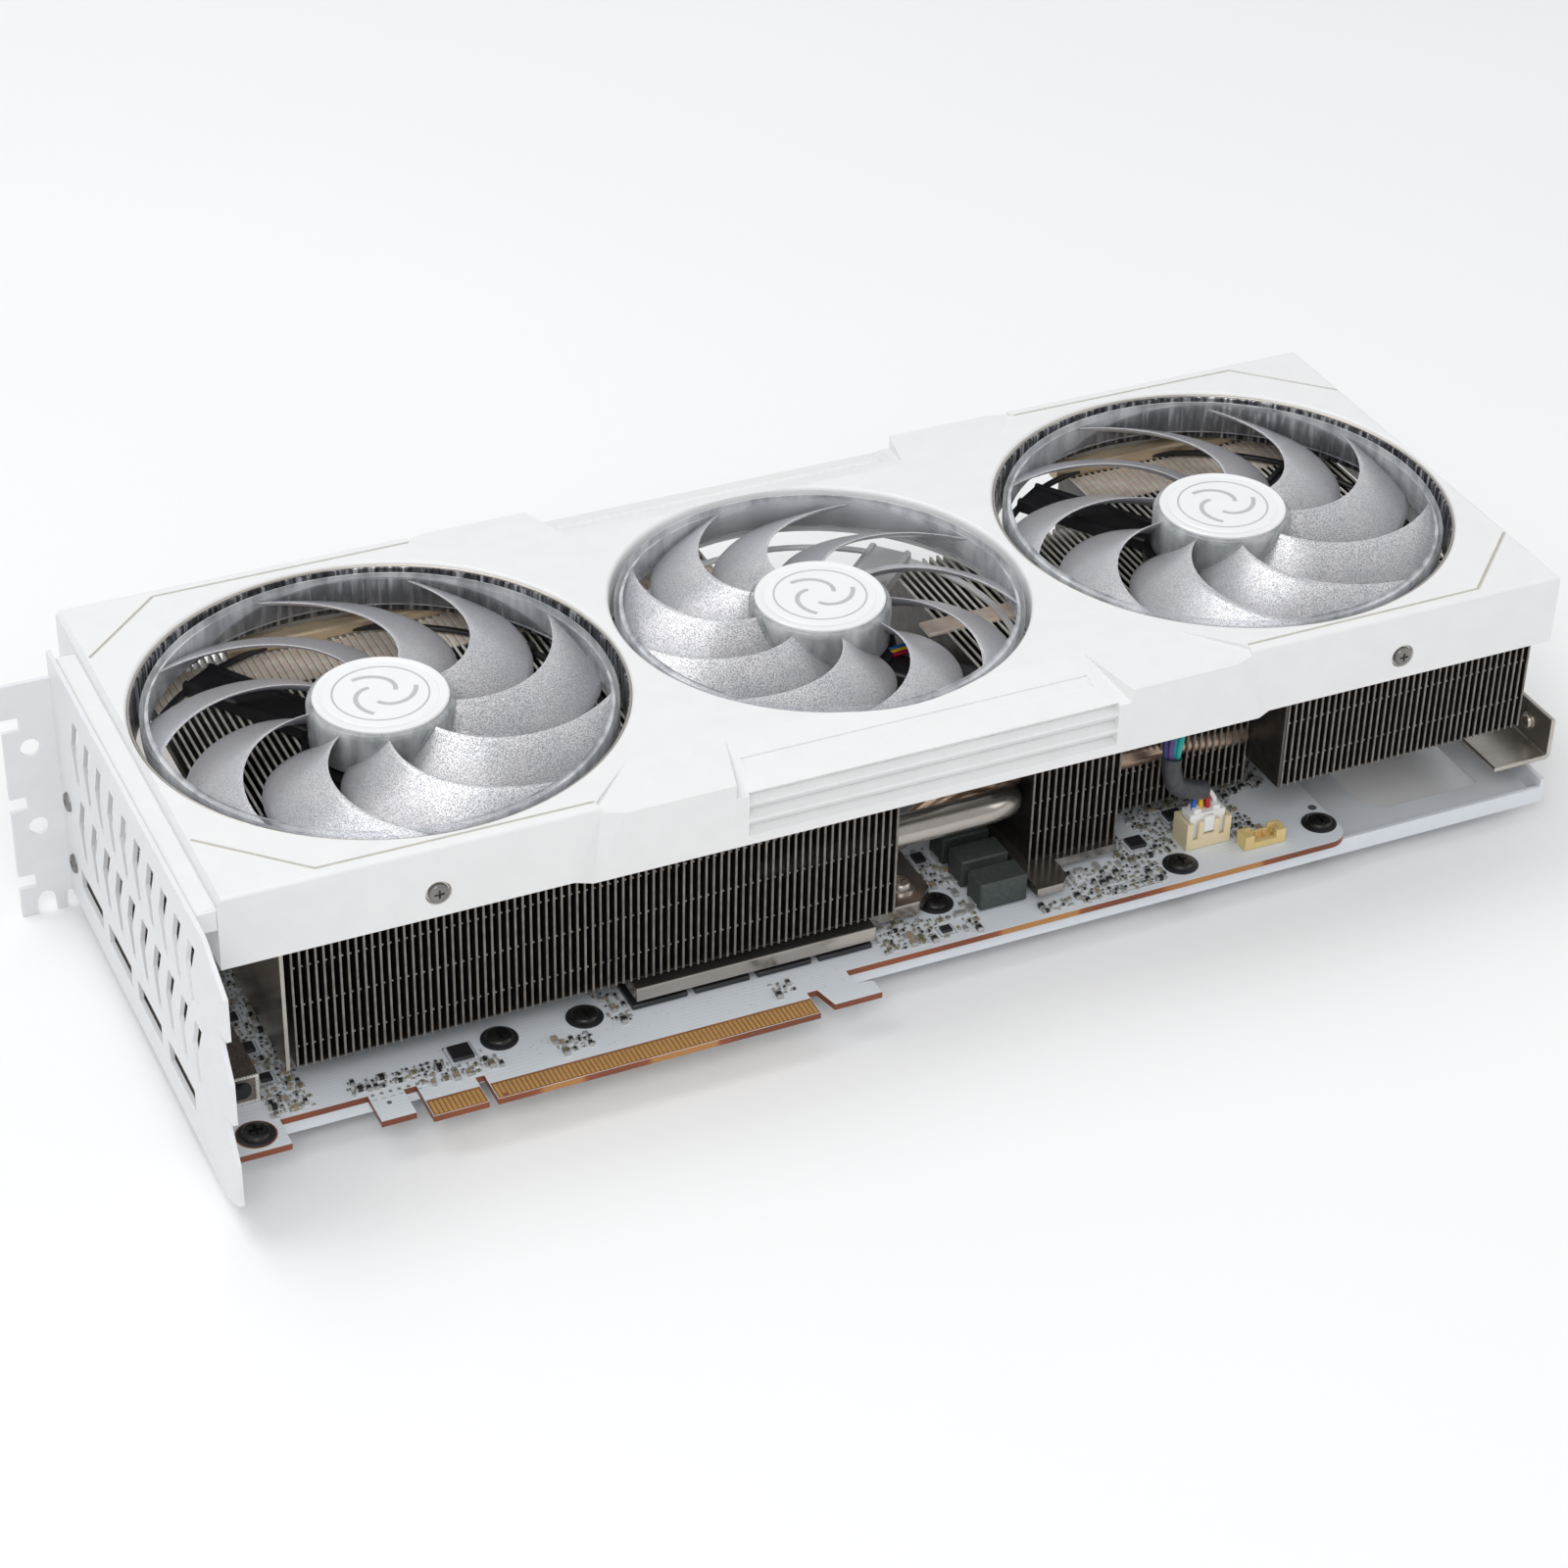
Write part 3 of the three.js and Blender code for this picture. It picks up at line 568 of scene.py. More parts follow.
# ---- shroud ----
LEDGE_DEPTH = 4.75                      # the ledge that reaches from the shroud to the bracket
SHOULDER_PROUD = 1.7
(SHROUD_LEFT, SHROUD_RIGHT), (SHROUD_FRONT, SHROUD_BACK), (SHROUD_LOW, SHROUD_TOP) = spans("shroud")
SHROUD_LEFT += LEDGE_DEPTH
SHROUD_FRONT += SHOULDER_PROUD
SHROUD_BACK -= SHOULDER_PROUD
SHROUD_WALL, SHROUD_ROOF = 2.0, 2.6
SCREW_DEPTH = 0.7                       # how far the screws stand back in the long sides
MIDDLE_X = (SHROUD_LEFT + SHROUD_RIGHT) / 2 + 0.5
MIDDLE_Y = (SHROUD_FRONT + SHROUD_BACK) / 2
LOUVRES = (117.0, 202.0)
FANS = [
    {"side": "left", "opening": 52.0, "ring": 49.6, "turn": 1},
    {"side": "middle", "opening": 45.8, "ring": 44.6, "turn": -1},
    {"side": "right", "opening": 52.0, "ring": 49.6, "turn": 1},
]
for fan in FANS:
    fan["x"], fan["y"] = joint_place(f"fan_spin_{fan['side']}").xy


def mirrored_x(points):
    return [(2 * MIDDLE_X - p[0], *p[1:]) for p in points]


def mirrored_y(points):
    return [(p[0], 2 * MIDDLE_Y - p[1], *p[2:]) for p in points]


def shroud_outline(z):
    """The shroud's outline at a height; its shoulders lean outwards lower down."""
    lean = (SHROUD_TOP - z) * 0.36
    start, run = 85.5 - lean, 5.0 - lean * 0.25
    end = 2 * MIDDLE_X - start
    front, back = SHROUD_FRONT, SHROUD_BACK
    return [(SHROUD_LEFT, front), (start, front), (start + run, front - SHOULDER_PROUD),
            (end - run, front - SHOULDER_PROUD), (end, front), (SHROUD_RIGHT, front),
            (SHROUD_RIGHT, back), (end, back), (end - run, back + SHOULDER_PROUD),
            (start + run, back + SHOULDER_PROUD), (start, back), (SHROUD_LEFT, back)]


def shroud_body():
    radius = 0.9
    rings = [[(*p, SHROUD_LOW) for p in shroud_outline(SHROUD_LOW)]]
    for step in range(6):
        angle = math.pi / 2 * step / 5
        z = SHROUD_TOP - radius + radius * math.sin(angle)
        rings.append([(*p, z) for p in inset(shroud_outline(z), radius * (1 - math.cos(angle)))])
    return Shape().loft(rings)


def shroud_rooms():
    """The hollow inside, kept clear of the thicker stretch under the louvres."""
    x0, x1 = SHROUD_LEFT + SHROUD_WALL, SHROUD_RIGHT - SHROUD_WALL
    y0, y1 = SHROUD_FRONT + SHROUD_WALL, SHROUD_BACK - SHROUD_WALL
    roof, floor = SHROUD_TOP - SHROUD_ROOF, SHROUD_LOW - 1
    solid = 9.0
    rooms = [Shape().block((x0, x1), (y0 + solid, y1 - solid), (floor, roof))]
    for a, b in ((y0, y0 + solid + 0.01), (y1 - solid - 0.01, y1)):
        rooms.append(Shape().block((x0, LOUVRES[0] - 2), (a, b), (floor, roof + 0.01)))
        rooms.append(Shape().block((LOUVRES[1] + 2, x1), (a, b), (floor, roof + 0.01)))
        rooms.append(Shape().block((LOUVRES[0] - 2.01, LOUVRES[1] + 2.01), (a, b), (floor, SHROUD_TOP - 7.5)))
    return rooms


def sloped_cut(outline, inner_y, outer_y, drop):
    """Takes off the top inside an outline, by nothing at inner_y and by drop at outer_y."""
    def height(y):
        return SHROUD_TOP - drop * (y - inner_y) / (outer_y - inner_y)
    return Shape().loft([[(x, y, height(y)) for x, y in outline],
                         [(x, y, SHROUD_TOP + 3) for x, y in outline]])


def shoulder_cut():
    """The middle stretch of a long side dips towards its edge, from a crease."""
    edge, outside, crease = SHROUD_FRONT - SHOULDER_PROUD, SHROUD_FRONT - 6, SHROUD_FRONT + 13
    outline = [(85, SHROUD_FRONT + 2.2), (87, outside), (2 * MIDDLE_X - 87, outside),
               (2 * MIDDLE_X - 85, SHROUD_FRONT + 2.2), (2 * MIDDLE_X - 96, crease), (96, crease)]
    return sloped_cut(outline, crease, edge, 1.3)


def flipped(shape):
    """A shape mirrored to the card's other long side."""
    other = Shape()
    other.verts = [Vector((v.x, 2 * MIDDLE_Y - v.y, v.z)) for v in shape.verts]
    other.faces = [face[::-1] for face in shape.faces]
    other.mats = list(shape.mats)
    return other


def louvre_cuts():
    """A long slope along the edge and three shingled grooves below it."""
    edge = SHROUD_FRONT - SHOULDER_PROUD
    x0, x1 = LOUVRES
    outline = [(x0 - 4, edge - 4), (x1 + 4, edge - 4), (x1 - 1, edge + 15), (x0 + 1, edge + 15)]
    cuts = [sloped_cut(outline, edge + 15, edge, 4.6)]
    ledge = Shape()
    for z in (41.3, 45.4, 49.0):
        groove = [(edge - 1, z + 2.6), (edge, z + 2.6), (edge + 2.3, z), (edge + 0.15, z - 0.75),
                  (edge - 1, z - 0.75)]
        ledge.along_x(groove, x0, x1)
    step = [(edge + 5.2, 53.6), (edge + 6.4, 51.8), (edge + 9.4, 53.0), (edge + 9.4, 55)]
    ledge.along_x(step, x0 + 2, x1 - 3)
    return cuts + [ledge]


TOP_LINE = [(7.6, 34.8), (26.8, 16.4), (85.0, 16.2)]


def top_lines(width, z0, z1):
    shape = Shape()
    for points in (TOP_LINE, mirrored_x(TOP_LINE)):
        for path in (points, mirrored_y(points)):
            shape.prism(strip(path, width), z0, z1)
    return shape


def opening_cut(fan):
    r, top = fan["opening"], SHROUD_TOP
    profile = [(0, SHROUD_LOW - 2), (r, SHROUD_LOW - 2), (r, top - 1.1), (r + 0.12, top - 0.6),
               (r + 0.4, top - 0.22), (r + 0.9, top), (r + 0.9, top + 2), (0, top + 2)]
    return Shape().turned(profile, fan["x"], fan["y"], sides=160)


def shroud_screw_places(depth):
    """Places of the shroud's screws at a depth in the long sides, each with the turn it has."""
    places = []
    for i in range(1, 5):
        (x0, x1), (y0, _), (z0, z1) = spans(f"shroud_screw_{i}")
        front = y0 < MIDDLE_Y
        y = SHROUD_FRONT + depth if front else SHROUD_BACK - depth
        places.append((((x0 + x1) / 2, y, (z0 + z1) / 2), FACE_FRONT if front else FACE_BACK))
    return places


def make_shroud():
    left_bevel = [(SHROUD_LEFT - 1, 53.3), (SHROUD_LEFT, 53.3),
                  (SHROUD_LEFT + 1.6, 56), (SHROUD_LEFT - 1, 56)]
    cuts = shroud_rooms() + [Shape().along_y(left_bevel, SHROUD_FRONT - 2, SHROUD_BACK + 2)]
    for cut in [shoulder_cut()] + louvre_cuts():
        cuts += [cut, flipped(cut)]
    cuts += [opening_cut(fan) for fan in FANS]
    cuts.append(top_lines(0.75, SHROUD_TOP - 0.35, SHROUD_TOP + 1))
    hole = Shape().turned([(0, -SCREW_DEPTH), (2.75, -SCREW_DEPTH), (2.75, 3), (0, 3)], sides=40)
    cuts += [placed(hole, [place], turn) for place, turn in shroud_screw_places(0)]
    shell = flatten(carve(raw_object("shroud_shell", shroud_body()), *cuts))
    dress(shell, WHITE_PLASTIC, "white_plastic", replaces="shroud", bevel=0.22)
    lip = Shape().block((BRACKET_THICK + 0.3, SHROUD_LEFT + 0.3), (SHROUD_FRONT + 0.05, SHROUD_BACK - 15),
                        (48, 53.0), chamfer=0.5)
    piece("shroud_lip", lip, WHITE_PLASTIC, "white_plastic")
    piece("shroud_top_lines", top_lines(0.74, SHROUD_TOP - 0.36, SHROUD_TOP - 0.25), GROOVE, "white_plastic")
    head, screws = screw_shape(2.15, 1.3, 2.7), Shape()
    for place, turn in shroud_screw_places(SCREW_DEPTH):
        screws.join(placed(head, [place], turn))
    piece("shroud_screws", screws, [SCREW_GREY, STEEL], "steel",
          replaces=[f"shroud_screw_{i}" for i in range(1, 5)])


# ---- fans ----
HUB_RADIUS, HUB_LOW, HUB_TOP = 15.6, 44.2, 54.0
BLADE_COUNT, BLADE_MIDDLE = 9, 49.3
MOUNT_LOW, ARM_TOP, MOTOR_TOP = 39.5, 42.5, 49


def blade_shape(fan, index):
    """Rings of points for one blade: swept, pitched and cambered, with a rounded edge all round."""
    inner, outer = HUB_RADIUS - 1.0, fan["ring"] - 0.9
    steps, around = 18, 20
    rings = []
    for i in range(steps + 1):
        u = i / steps
        radius = inner + u * (outer - inner)
        chord = 0.60 - 0.13 * u + 0.16 * u * (1 - u)
        sweep = 0.80 * u ** 1.6 + 0.08 * u
        ring = []
        for k in range(around):
            angle = 2 * math.pi * k / around
            v = -0.5 * math.cos(angle)
            thick = 0.62 * math.copysign(abs(math.sin(angle)) ** 0.7, math.sin(angle))
            turn = 2 * math.pi * index / BLADE_COUNT + sweep + v * chord
            camber = 0.9 * (1 - 4 * v * v) * (1 - 0.4 * u)
            z = BLADE_MIDDLE + v * (7.6 - 1.9 * u) - camber + thick
            turn *= fan["turn"]
            ring.append((fan["x"] + radius * math.cos(turn), fan["y"] + radius * math.sin(turn), z))
        rings.append(ring)
    return rings


def make_impeller(fan):
    x, y, ring, side = fan["x"], fan["y"], fan["ring"], fan["side"]
    body = f"rotor_{side}"
    blades = Shape()
    for index in range(BLADE_COUNT):
        blades.loft(blade_shape(fan, index))
    piece(f"fan_blades_{side}", blades, SMOKY, "smoky_plastic", body=body,
          replaces=f"fan_impeller_{side}", sharp=60)
    clear = Shape()
    clear.turned([(ring - 1.3, 46.3), (ring - 0.9, 46), (ring - 0.3, 46), (ring, 46.4), (ring, 53.3),
                  (ring - 0.3, 53.9), (ring - 1.0, 54.0), (ring - 1.9, 53.7), (ring - 1.9, 53.2),
                  (ring - 1.1, 52.8)], x, y, 128)
    clear.turned([(HUB_RADIUS - 1.4, HUB_LOW), (HUB_RADIUS - 0.2, HUB_LOW), (HUB_RADIUS, HUB_LOW + 0.3),
                  (HUB_RADIUS, HUB_TOP - 1.2), (HUB_RADIUS - 0.3, HUB_TOP - 0.4), (HUB_RADIUS - 1.0, HUB_TOP),
                  (HUB_RADIUS - 1.6, HUB_TOP), (HUB_RADIUS - 1.4, HUB_TOP - 1.5)], x, y, 96, mat=1)
    piece(f"fan_ring_{side}", clear, [CLEAR, CLEAR_HUB], "clear_plastic", body=body, sharp=60)
    yoke = Shape().turned([(0, 52.2), (13.6, 52.2), (13.9, 51.8), (13.9, 45.4), (13.2, 45.4), (13.2, 51.4),
                           (0, 51.4)], x, y, 72)
    piece(f"fan_yoke_{side}", yoke, TEAL_STEEL, "steel", body=body, replaces=f"fan_shaft_{side}")
    cap = Shape().turned([(0, 53.0), (14.1, 53.0), (14.3, 54.0), (14.3, 54.45), (14.0, 54.72), (12.6, 54.72),
                          (12.45, 54.62), (12.2, 54.62), (12.05, 54.75), (0, 54.8)], x, y, 96)
    piece(f"fan_badge_{side}", cap, GLOSS_WHITE, "white_plastic", body=body, replaces=f"fan_cap_{side}")
    mark = Shape()
    for i in range(3):
        arc = []
        for t in (k / 10 for k in range(11)):
            angle, radius = 2 * math.pi * i / 3 + 2.1 * t, 3.2 + 4.6 * t
            arc.append((x + radius * math.cos(angle), y + radius * math.sin(angle)))
        mark.prism(strip(arc, 1.0), 54.76, 54.81)
    mark.turned([(9.9, 54.75), (10.3, 54.75), (10.3, 54.80), (9.9, 54.80)], x, y, 72)
    piece(f"fan_badge_mark_{side}", mark, MARK_GREY, "white_plastic", body=body)


def make_fan_frame(fan):
    """The fixed frame under an impeller: a thin ring, four arms and a motor cup.

    It is black. The middle fan's ring and arms are white, apart from the arm at its front right.
    """
    x, y, outer, side = fan["x"], fan["y"], fan["ring"], fan["side"]
    shape = Shape()
    shape.turned([(outer - 1, 39.6), (outer + 0.5, 39.6), (outer + 0.5, 40.2), (outer + 0.3, 40.4),
                  (outer - 0.8, 40.4), (outer - 1, 40.2)], x, y, 96, mat=3)
    shape.turned([(0, MOUNT_LOW), (16.6, MOUNT_LOW), (17, 39.9), (17, 42.6), (16.6, 43), (14.6, 43),
                  (14.2, 42.4), (0, 42.4)], x, y, 72)
    half = [(5, MOUNT_LOW), (5, 42.1), (4.5, ARM_TOP), (3.7, ARM_TOP), (3.4, 41.9)]
    section = half + [(-across, z) for across, z in half[::-1]]
    first = 0.24 if side == "middle" else 0.19
    for i in range(4):
        arm = Shape().along_x(section, 16, outer - 0.4, 0 if i == 3 else 3)
        turn = Matrix.Rotation(math.pi * (first + i / 2), 4, "Z")
        shape.join(arm, Matrix.Translation((x, y, 0)) @ turn)
    shape.turned([(0.5, 43.3), (10.5, 43.3), (11.5, 44), (11.5, 48.5), (10.8, MOTOR_TOP), (3, MOTOR_TOP),
                  (0.5, MOTOR_TOP)], x, y, 48, mat=1)
    shape.turned([(12.2, 42.8), (13.4, 42.8), (13.6, 43.2), (13.6, 44.4), (13.2, 44.9), (12.2, 44.9)],
                 x, y, 72, mat=2)
    arms = WHITE_PLASTIC if side == "middle" else BLACK
    piece(f"fan_mount_{side}", shape, [BLACK, COPPER, TEAL_STEEL, arms], "black_plastic",
          replaces=[f"fan_frame_{side}", f"fan_stator_{side}"])


def make_fan_wall(fan):
    """The wall round the impeller: smoked chrome with a steel rim at the sides, white in the middle."""
    r, x, y, side = fan["opening"], fan["x"], fan["y"], fan["side"]
    if side == "middle":
        duct = Shape().turned([(r, 43.4), (r + 1.5, 43.4), (r + 1.5, 52.6), (r, 52.6)], x, y, 128)
        piece("fan_duct_middle", duct, WHITE_PLASTIC, "white_plastic")
        return
    wall = Shape()
    wall.turned([(r - 0.8, 43.2), (r - 0.1, 43.2), (r - 0.1, 53.9), (r - 0.5, 54.0), (r - 0.8, 53.6)],
                x, y, 128)
    wall.turned([(r - 0.5, 53.8), (r - 0.1, 53.9), (r, 54.2), (r - 0.15, 54.4), (r - 0.35, 54.4),
                 (r - 0.5, 54.2)], x, y, 160, mat=1)
    piece(f"fan_wall_{side}", wall, [SILVER_WALL, STEEL], "black_plastic", sharp=60)


# ---- cooler ----
FIN_PITCH, FIN_THICK = 1.67, 0.34
FIN_TOP = 38.9


def fin_rows(shape, x0, x1, y0, y1, low, tab_heights, band=None):
    """Thin upright fins with small tabs towards the next fin, coloured with painted light and shade:
    near-black sides as painted shade between the fins, grey edges brighter than the sides, and near-white tips
    as painted light.

    A band is a stretch along y where a flange joins the tops. Materials: side, edge, tip, flange.
    """
    count = int((x1 - x0 - FIN_THICK) / FIN_PITCH)
    inside = (y0 + 0.3, y1 - 0.3)
    for i in range(count + 1):
        x = x0 + i * (x1 - x0 - FIN_THICK) / count
        end, proud = x + FIN_THICK, x + FIN_THICK + 0.12
        shape.block((x, end), inside, (low, FIN_TOP - 0.3))
        shape.block((x, proud), (y0, y0 + 0.3), (low, FIN_TOP), 1)
        shape.block((x, proud), (y1 - 0.3, y1), (low, FIN_TOP), 1)
        shape.block((x - 0.08, proud), inside, (FIN_TOP - 0.3, FIN_TOP), 2)
        if i == count:
            return
        shape.block((end, x + FIN_PITCH - 0.02), (y0 + 0.5, y1 - 0.5), (low, low + 0.25))
        for height in tab_heights:
            tab = (height + i * 0.035, height + 0.35 + i * 0.035)
            for y in (y0, y1 - 0.3):
                shape.block((proud, end + 0.5), (y, y + 0.3), tab, 1)
        if band:
            shape.block((proud, x + FIN_PITCH - 0.3), band, (FIN_TOP - 0.35, FIN_TOP + 0.05), 3)


def make_fins():
    left, middle, right, block = (Shape() for _ in range(4))
    along, band = (16.5, 123), (104.5, 117)
    fin_rows(left, 20.6, 153.4, *along, 7.2, (12.5, 22.5, 32), band)
    left.block((18.4, 19.2), along, (7.2, FIN_TOP), 4)
    fin_rows(middle, 212.4, 246.4, 29.6, 98, 8.2, (12, 18, 30.5))
    fin_rows(right, 247.7, 310, *along, 14.5, (21, 31), band)
    right.block((246.9, 247.5), (16.5, 40), (14.5, FIN_TOP))
    block.prism([(187.4, 15.2), (193.6, 15.2), (195.9, 17.5), (195.9, 23.6), (211.4, 23.6), (211.4, 98),
                 (187.4, 98)], 2.6, 4.6, 4)
    fin_rows(block, 190.2, 211.6, 25, 98, 4.4, (12, 20, 30.5))
    for name, shape, node in (("left", left, "fin_stack_left"), ("middle", middle, "fin_stack_middle"),
                              ("right", right, "fin_stack_right"), ("vrm", block, "vrm_fin_block")):
        piece(f"fins_{name}", shape, [FIN_SIDE_PAINTED_SHADE, FIN_EDGE_PAINTED_HALF_SHADE, FIN_TIP_PAINTED_LIGHT, FIN_ROSE, NICKEL], "dark_fin", replaces=node)


def make_pipes():
    radius = 3.0
    low, high = 10.5, 22.0
    front = [(122, 23.6, high + 1), (150, 23.6, high + 1), (172, 23.6, high + 1), (180, 24.4, high + 0.6),
             (185.4, 28.2, high - 1.5), (187, 35, high - 4.5), (186, 44, low - 1), (184, 52, low - 1)]
    routes = [(front, radius + 0.5, 24, NICKEL)]
    for y in (34, 58, 82):
        start = [(96, y, low), (140, y, low), (153, y, low), (160, y, low + 1.6), (174, y, high - 1.6),
                 (182, y, high)]
        end = [(190, y, high), (250, y, high), (304, y, high)]
        if y == 34:
            end = [(196, 34, 23), (205, 31.8, 22.6), (212, 31.3, 22.0), (222, 32.2, 21.4), (230, 32.9, 20.8),
                   (250, 32.9, 19.4), (304, 34, 20)]
        routes.append((start + end, radius, 20, COPPER if y == 34 else NICKEL))
    routes.append(([(x, 104, low) for x in (34, 90, 150)], radius, 20, NICKEL))
    names = ("front", "2", "3", "4", "5")
    for i, (name, (route, thick, sides, finish)) in enumerate(zip(names, routes)):
        piece(f"pipe_{name}", Shape().tube(route, thick, sides), finish, "nickel",
              replaces=f"heatpipe_{i + 1}")
    bars = Shape()
    for x0, x1 in ((41, 98), (244, 300)):
        bars.along_x(rounded(117.6, 122, 38.6, 41.8, 1.0), x0, x1)
        bars.along_x(rounded(117.4, 122.2, 38.5, 42.0, 1.0), x0 + 13, x0 + 22)
    bars.along_x(rounded(68.0, 73.5, 38.2, 39.35, 0.5), 186, 212, 1)
    piece("cooler_bars", bars, [NICKEL_PAINTED_WARM_LIGHT, FIN_ROSE], "nickel", bevel=0.1)


def make_cold_plate():
    node_piece("cooler_base", "cold_plate", NICKEL, "nickel", 0.3)
    x, y = 159.5, 26
    ear = Shape().turned([(1.6, 6.0), (3.2, 6.0), (3.2, 6.5), (2.9, 6.7), (1.6, 6.7)], x, y, 40)
    ear.join(placed(screw_shape(2.3, 1.2), [(x, y, 6.6)]))
    piece("cooler_base_screw", ear, STEEL, "nickel")


def make_end_bracket():
    node_piece("card_end_bracket", "end_bracket", STEEL, "steel", 0.35)
    screws = placed(screw_shape(1.7, 1.0, 2.1), [(318.3, 23.5, 9.5), (318.3, 109, 9.5)], FACE_LEFT)
    piece("end_bracket_screws", screws, [STEEL, STEEL], "steel")


# ---- board ----
SCREW_PLACES = [(9, 8.5), (64.2, 18.1), (83, 17.9), (167.7, 24.9), (224, 16.8), (260.5, 18.4)]
# start of a contact row, gap before its first contact, number of contacts, end of the row
CONTACT_ROWS = [(43.3, 0.55, 11, 55.2), (57.1, 0.5, 71, 128.8)]
CONTACT_PITCH, CONTACT_WIDTH, CONTACT_END = 1.0, 0.7, 4.6
SHORT_CONTACT = 12                      # its number, counted along both rows


def make_board():
    node_piece("board", "pcb", BOARD, "white_board", 0.08)
    contacts, bands = Shape(), Shape()
    starts = []
    for start, gap, count, end in CONTACT_ROWS:
        starts += [start + gap + i * CONTACT_PITCH for i in range(count)]
        bands.block((start + 0.15, end - 0.15), (0.12, 5.2), (0.0, 0.02))
    for i, x in enumerate(starts):
        reach = 1.4 if i == SHORT_CONTACT else 0.4
        for z in ((0.0, 0.05), (-BOARD_THICK - 0.05, -BOARD_THICK)):
            contacts.block((x, x + CONTACT_WIDTH), (reach, CONTACT_END), z)
    piece("board_contacts", contacts, GOLD, "gold")
    piece("board_contact_base", bands, RUST, "gold")
    screws = placed(screw_shape(3.0, 1.3, 4.0), [(x, y, 0.02) for x, y in SCREW_PLACES])
    piece("board_screws", screws, [BLACK_STEEL, BLACK], "steel", sharp=50)
    ring = [(3.4, 0.01), (4.3, 0.01), (4.3, 0.06), (3.4, 0.06)]
    piece("board_screw_ring", Shape().turned(ring, *SCREW_PLACES[0], 48), RUST, "copper")


FIELDS = [
    # x limits, y limits, number of parts, share that sets how many are tan or olive
    ((13.4, 22.5), (12.5, 62), 190, 0.6),
    ((13.4, 18), (62, 112), 60, 0.4),
    ((30, 50), (12.5, 16.3), 26, 0.3),
    ((44, 62), (9.6, 16.0), 38, 0.6),
    ((86, 92), (13, 30), 20, 0.5),
    ((74, 82), (8.2, 12.8), 18, 0.5),
    ((122.5, 127), (8.4, 12.6), 12, 0.4),
    ((150, 174), (12.8, 33), 74, 0.6),
    ((168, 175), (34, 44), 16, 0.5),
    ((187, 222), (12.6, 15.0), 30, 0.3),
    ((197, 227), (14, 23), 66, 0.5),
    ((212, 227), (23, 30.5), 60, 0.4),
    ((227.5, 246), (27.4, 38), 70, 0.5),
    ((221, 236), (31, 44), 60, 0.3),
    ((239, 247), (20, 27), 14, 0.4),
    ((247, 257), (36, 44), 24, 0.3),
    ((150, 200), (99, 112), 90, 0.5),
    ((20, 70), (112, 116.5), 50, 0.5),
    ((247, 260), (40, 110), 40, 0.5),
]
CHIPS = [
    # centre x, centre y, width, depth, height
    (55.2, 16.6, 4.6, 4.6, 0.85), (16.2, 24.5, 2.4, 2.4, 0.8), (16, 35, 2.2, 3.0, 0.9),
    (15.8, 46, 2.4, 2.4, 0.8), (15.8, 70, 2.4, 4.0, 1.0), (15.8, 92, 2.4, 4.0, 1.0),
    (165.5, 15.4, 2.4, 2.0, 0.7), (218.5, 27.4, 3.8, 3.8, 0.9), (241.5, 31.5, 3.2, 5.2, 1.0),
    (231.5, 33.5, 4.0, 3.4, 0.9), (171.5, 41, 2.6, 3.2, 0.8), (180, 105, 7, 7, 0.9), (40, 114.4, 3, 2.4, 0.8),
]
TRIES = 14
KEEP_OUT_NODES = ["choke_1", "choke_2", "choke_3", "fan_header", "led_header", "bios_switch_body", "memory_1"]


def blocked_areas():
    """Where no small part may stand, as limits along x and y."""
    areas = []
    for (x0, x1), (y0, y1), _ in map(spans, KEEP_OUT_NODES):
        areas.append((x0 - 0.4, x1 + 0.4, y0 - 0.4, y1 + 0.4))
    areas += [(x - 4.3, x + 4.3, y - 4.3, y + 4.3) for x, y in SCREW_PLACES]
    for x, y, width, depth, _ in CHIPS:
        areas.append((x - width / 2 - 0.9, x + width / 2 + 0.9, y - depth / 2 - 0.9, y + depth / 2 + 0.9))
    return areas


def dot(shape, x, y, radius, height, sides):
    """A flat round mark on the board."""
    shape.turned([(0.0, 0.0), (radius, 0.0), (radius, height), (0.0, height)], x, y, sides)


def small_part(shape, x, y, along, length, width, height, kind):
    """A soldered chip part: a black, tan, tinned or olive body between two tinned ends."""
    end, half = length / 2, width / 2
    cap = length * 0.22
    pieces = [(-end + cap, end - cap, half, (0.02, height), kind)]
    for a, b in ((-end, -end + cap), (end - cap, end)):
        pieces.append((a, b, half + 0.02, (0.01, height + 0.03), 2))
    for a, b in ((-end - 0.22, -end), (end, end + 0.22)):
        pieces.append((a, b, half + 0.04, (0.0, 0.09), 2))
    for a, b, side, z, mat in pieces:
        if along:
            shape.block((x + a, x + b), (y - side, y + side), z, mat)
        else:
            shape.block((x - side, x + side), (y + a, y + b), z, mat)


def chip_part(shape, ink, x, y, width, depth, height):
    """A black chip with legs on two sides, in a printed frame with a dot at one corner."""
    x0, x1, y0, y1 = x - width / 2, x + width / 2, y - depth / 2, y + depth / 2
    shape.block((x0, x1), (y0, y1), (0.08, height), 0, 0.12)
    step = 0.65
    for i in range(int((width - 0.6) / step) + 1):
        leg = x0 + 0.35 + i * step
        for ends in ((y0 - 0.45, y0 + 0.1), (y1 - 0.1, y1 + 0.45)):
            shape.block((leg - 0.13, leg + 0.13), ends, (0.01, 0.24), 2)
    frame_line(ink, x0 - 0.75, x1 + 0.75, y0 - 0.75, y1 + 0.75)
    dot(ink, x0 - 0.55, y1 + 0.5, 0.16, 0.03, 10)


def frame_line(ink, x0, x1, y0, y1, width=0.12):
    """A printed rectangle."""
    for xs, ys in (((x0, x1), (y0, y0 + width)), ((x0, x1), (y1 - width, y1)),
                   ((x0, x0 + width), (y0, y1)), ((x1 - width, x1), (y0, y1))):
        ink.block(xs, ys, (0.0, 0.025))


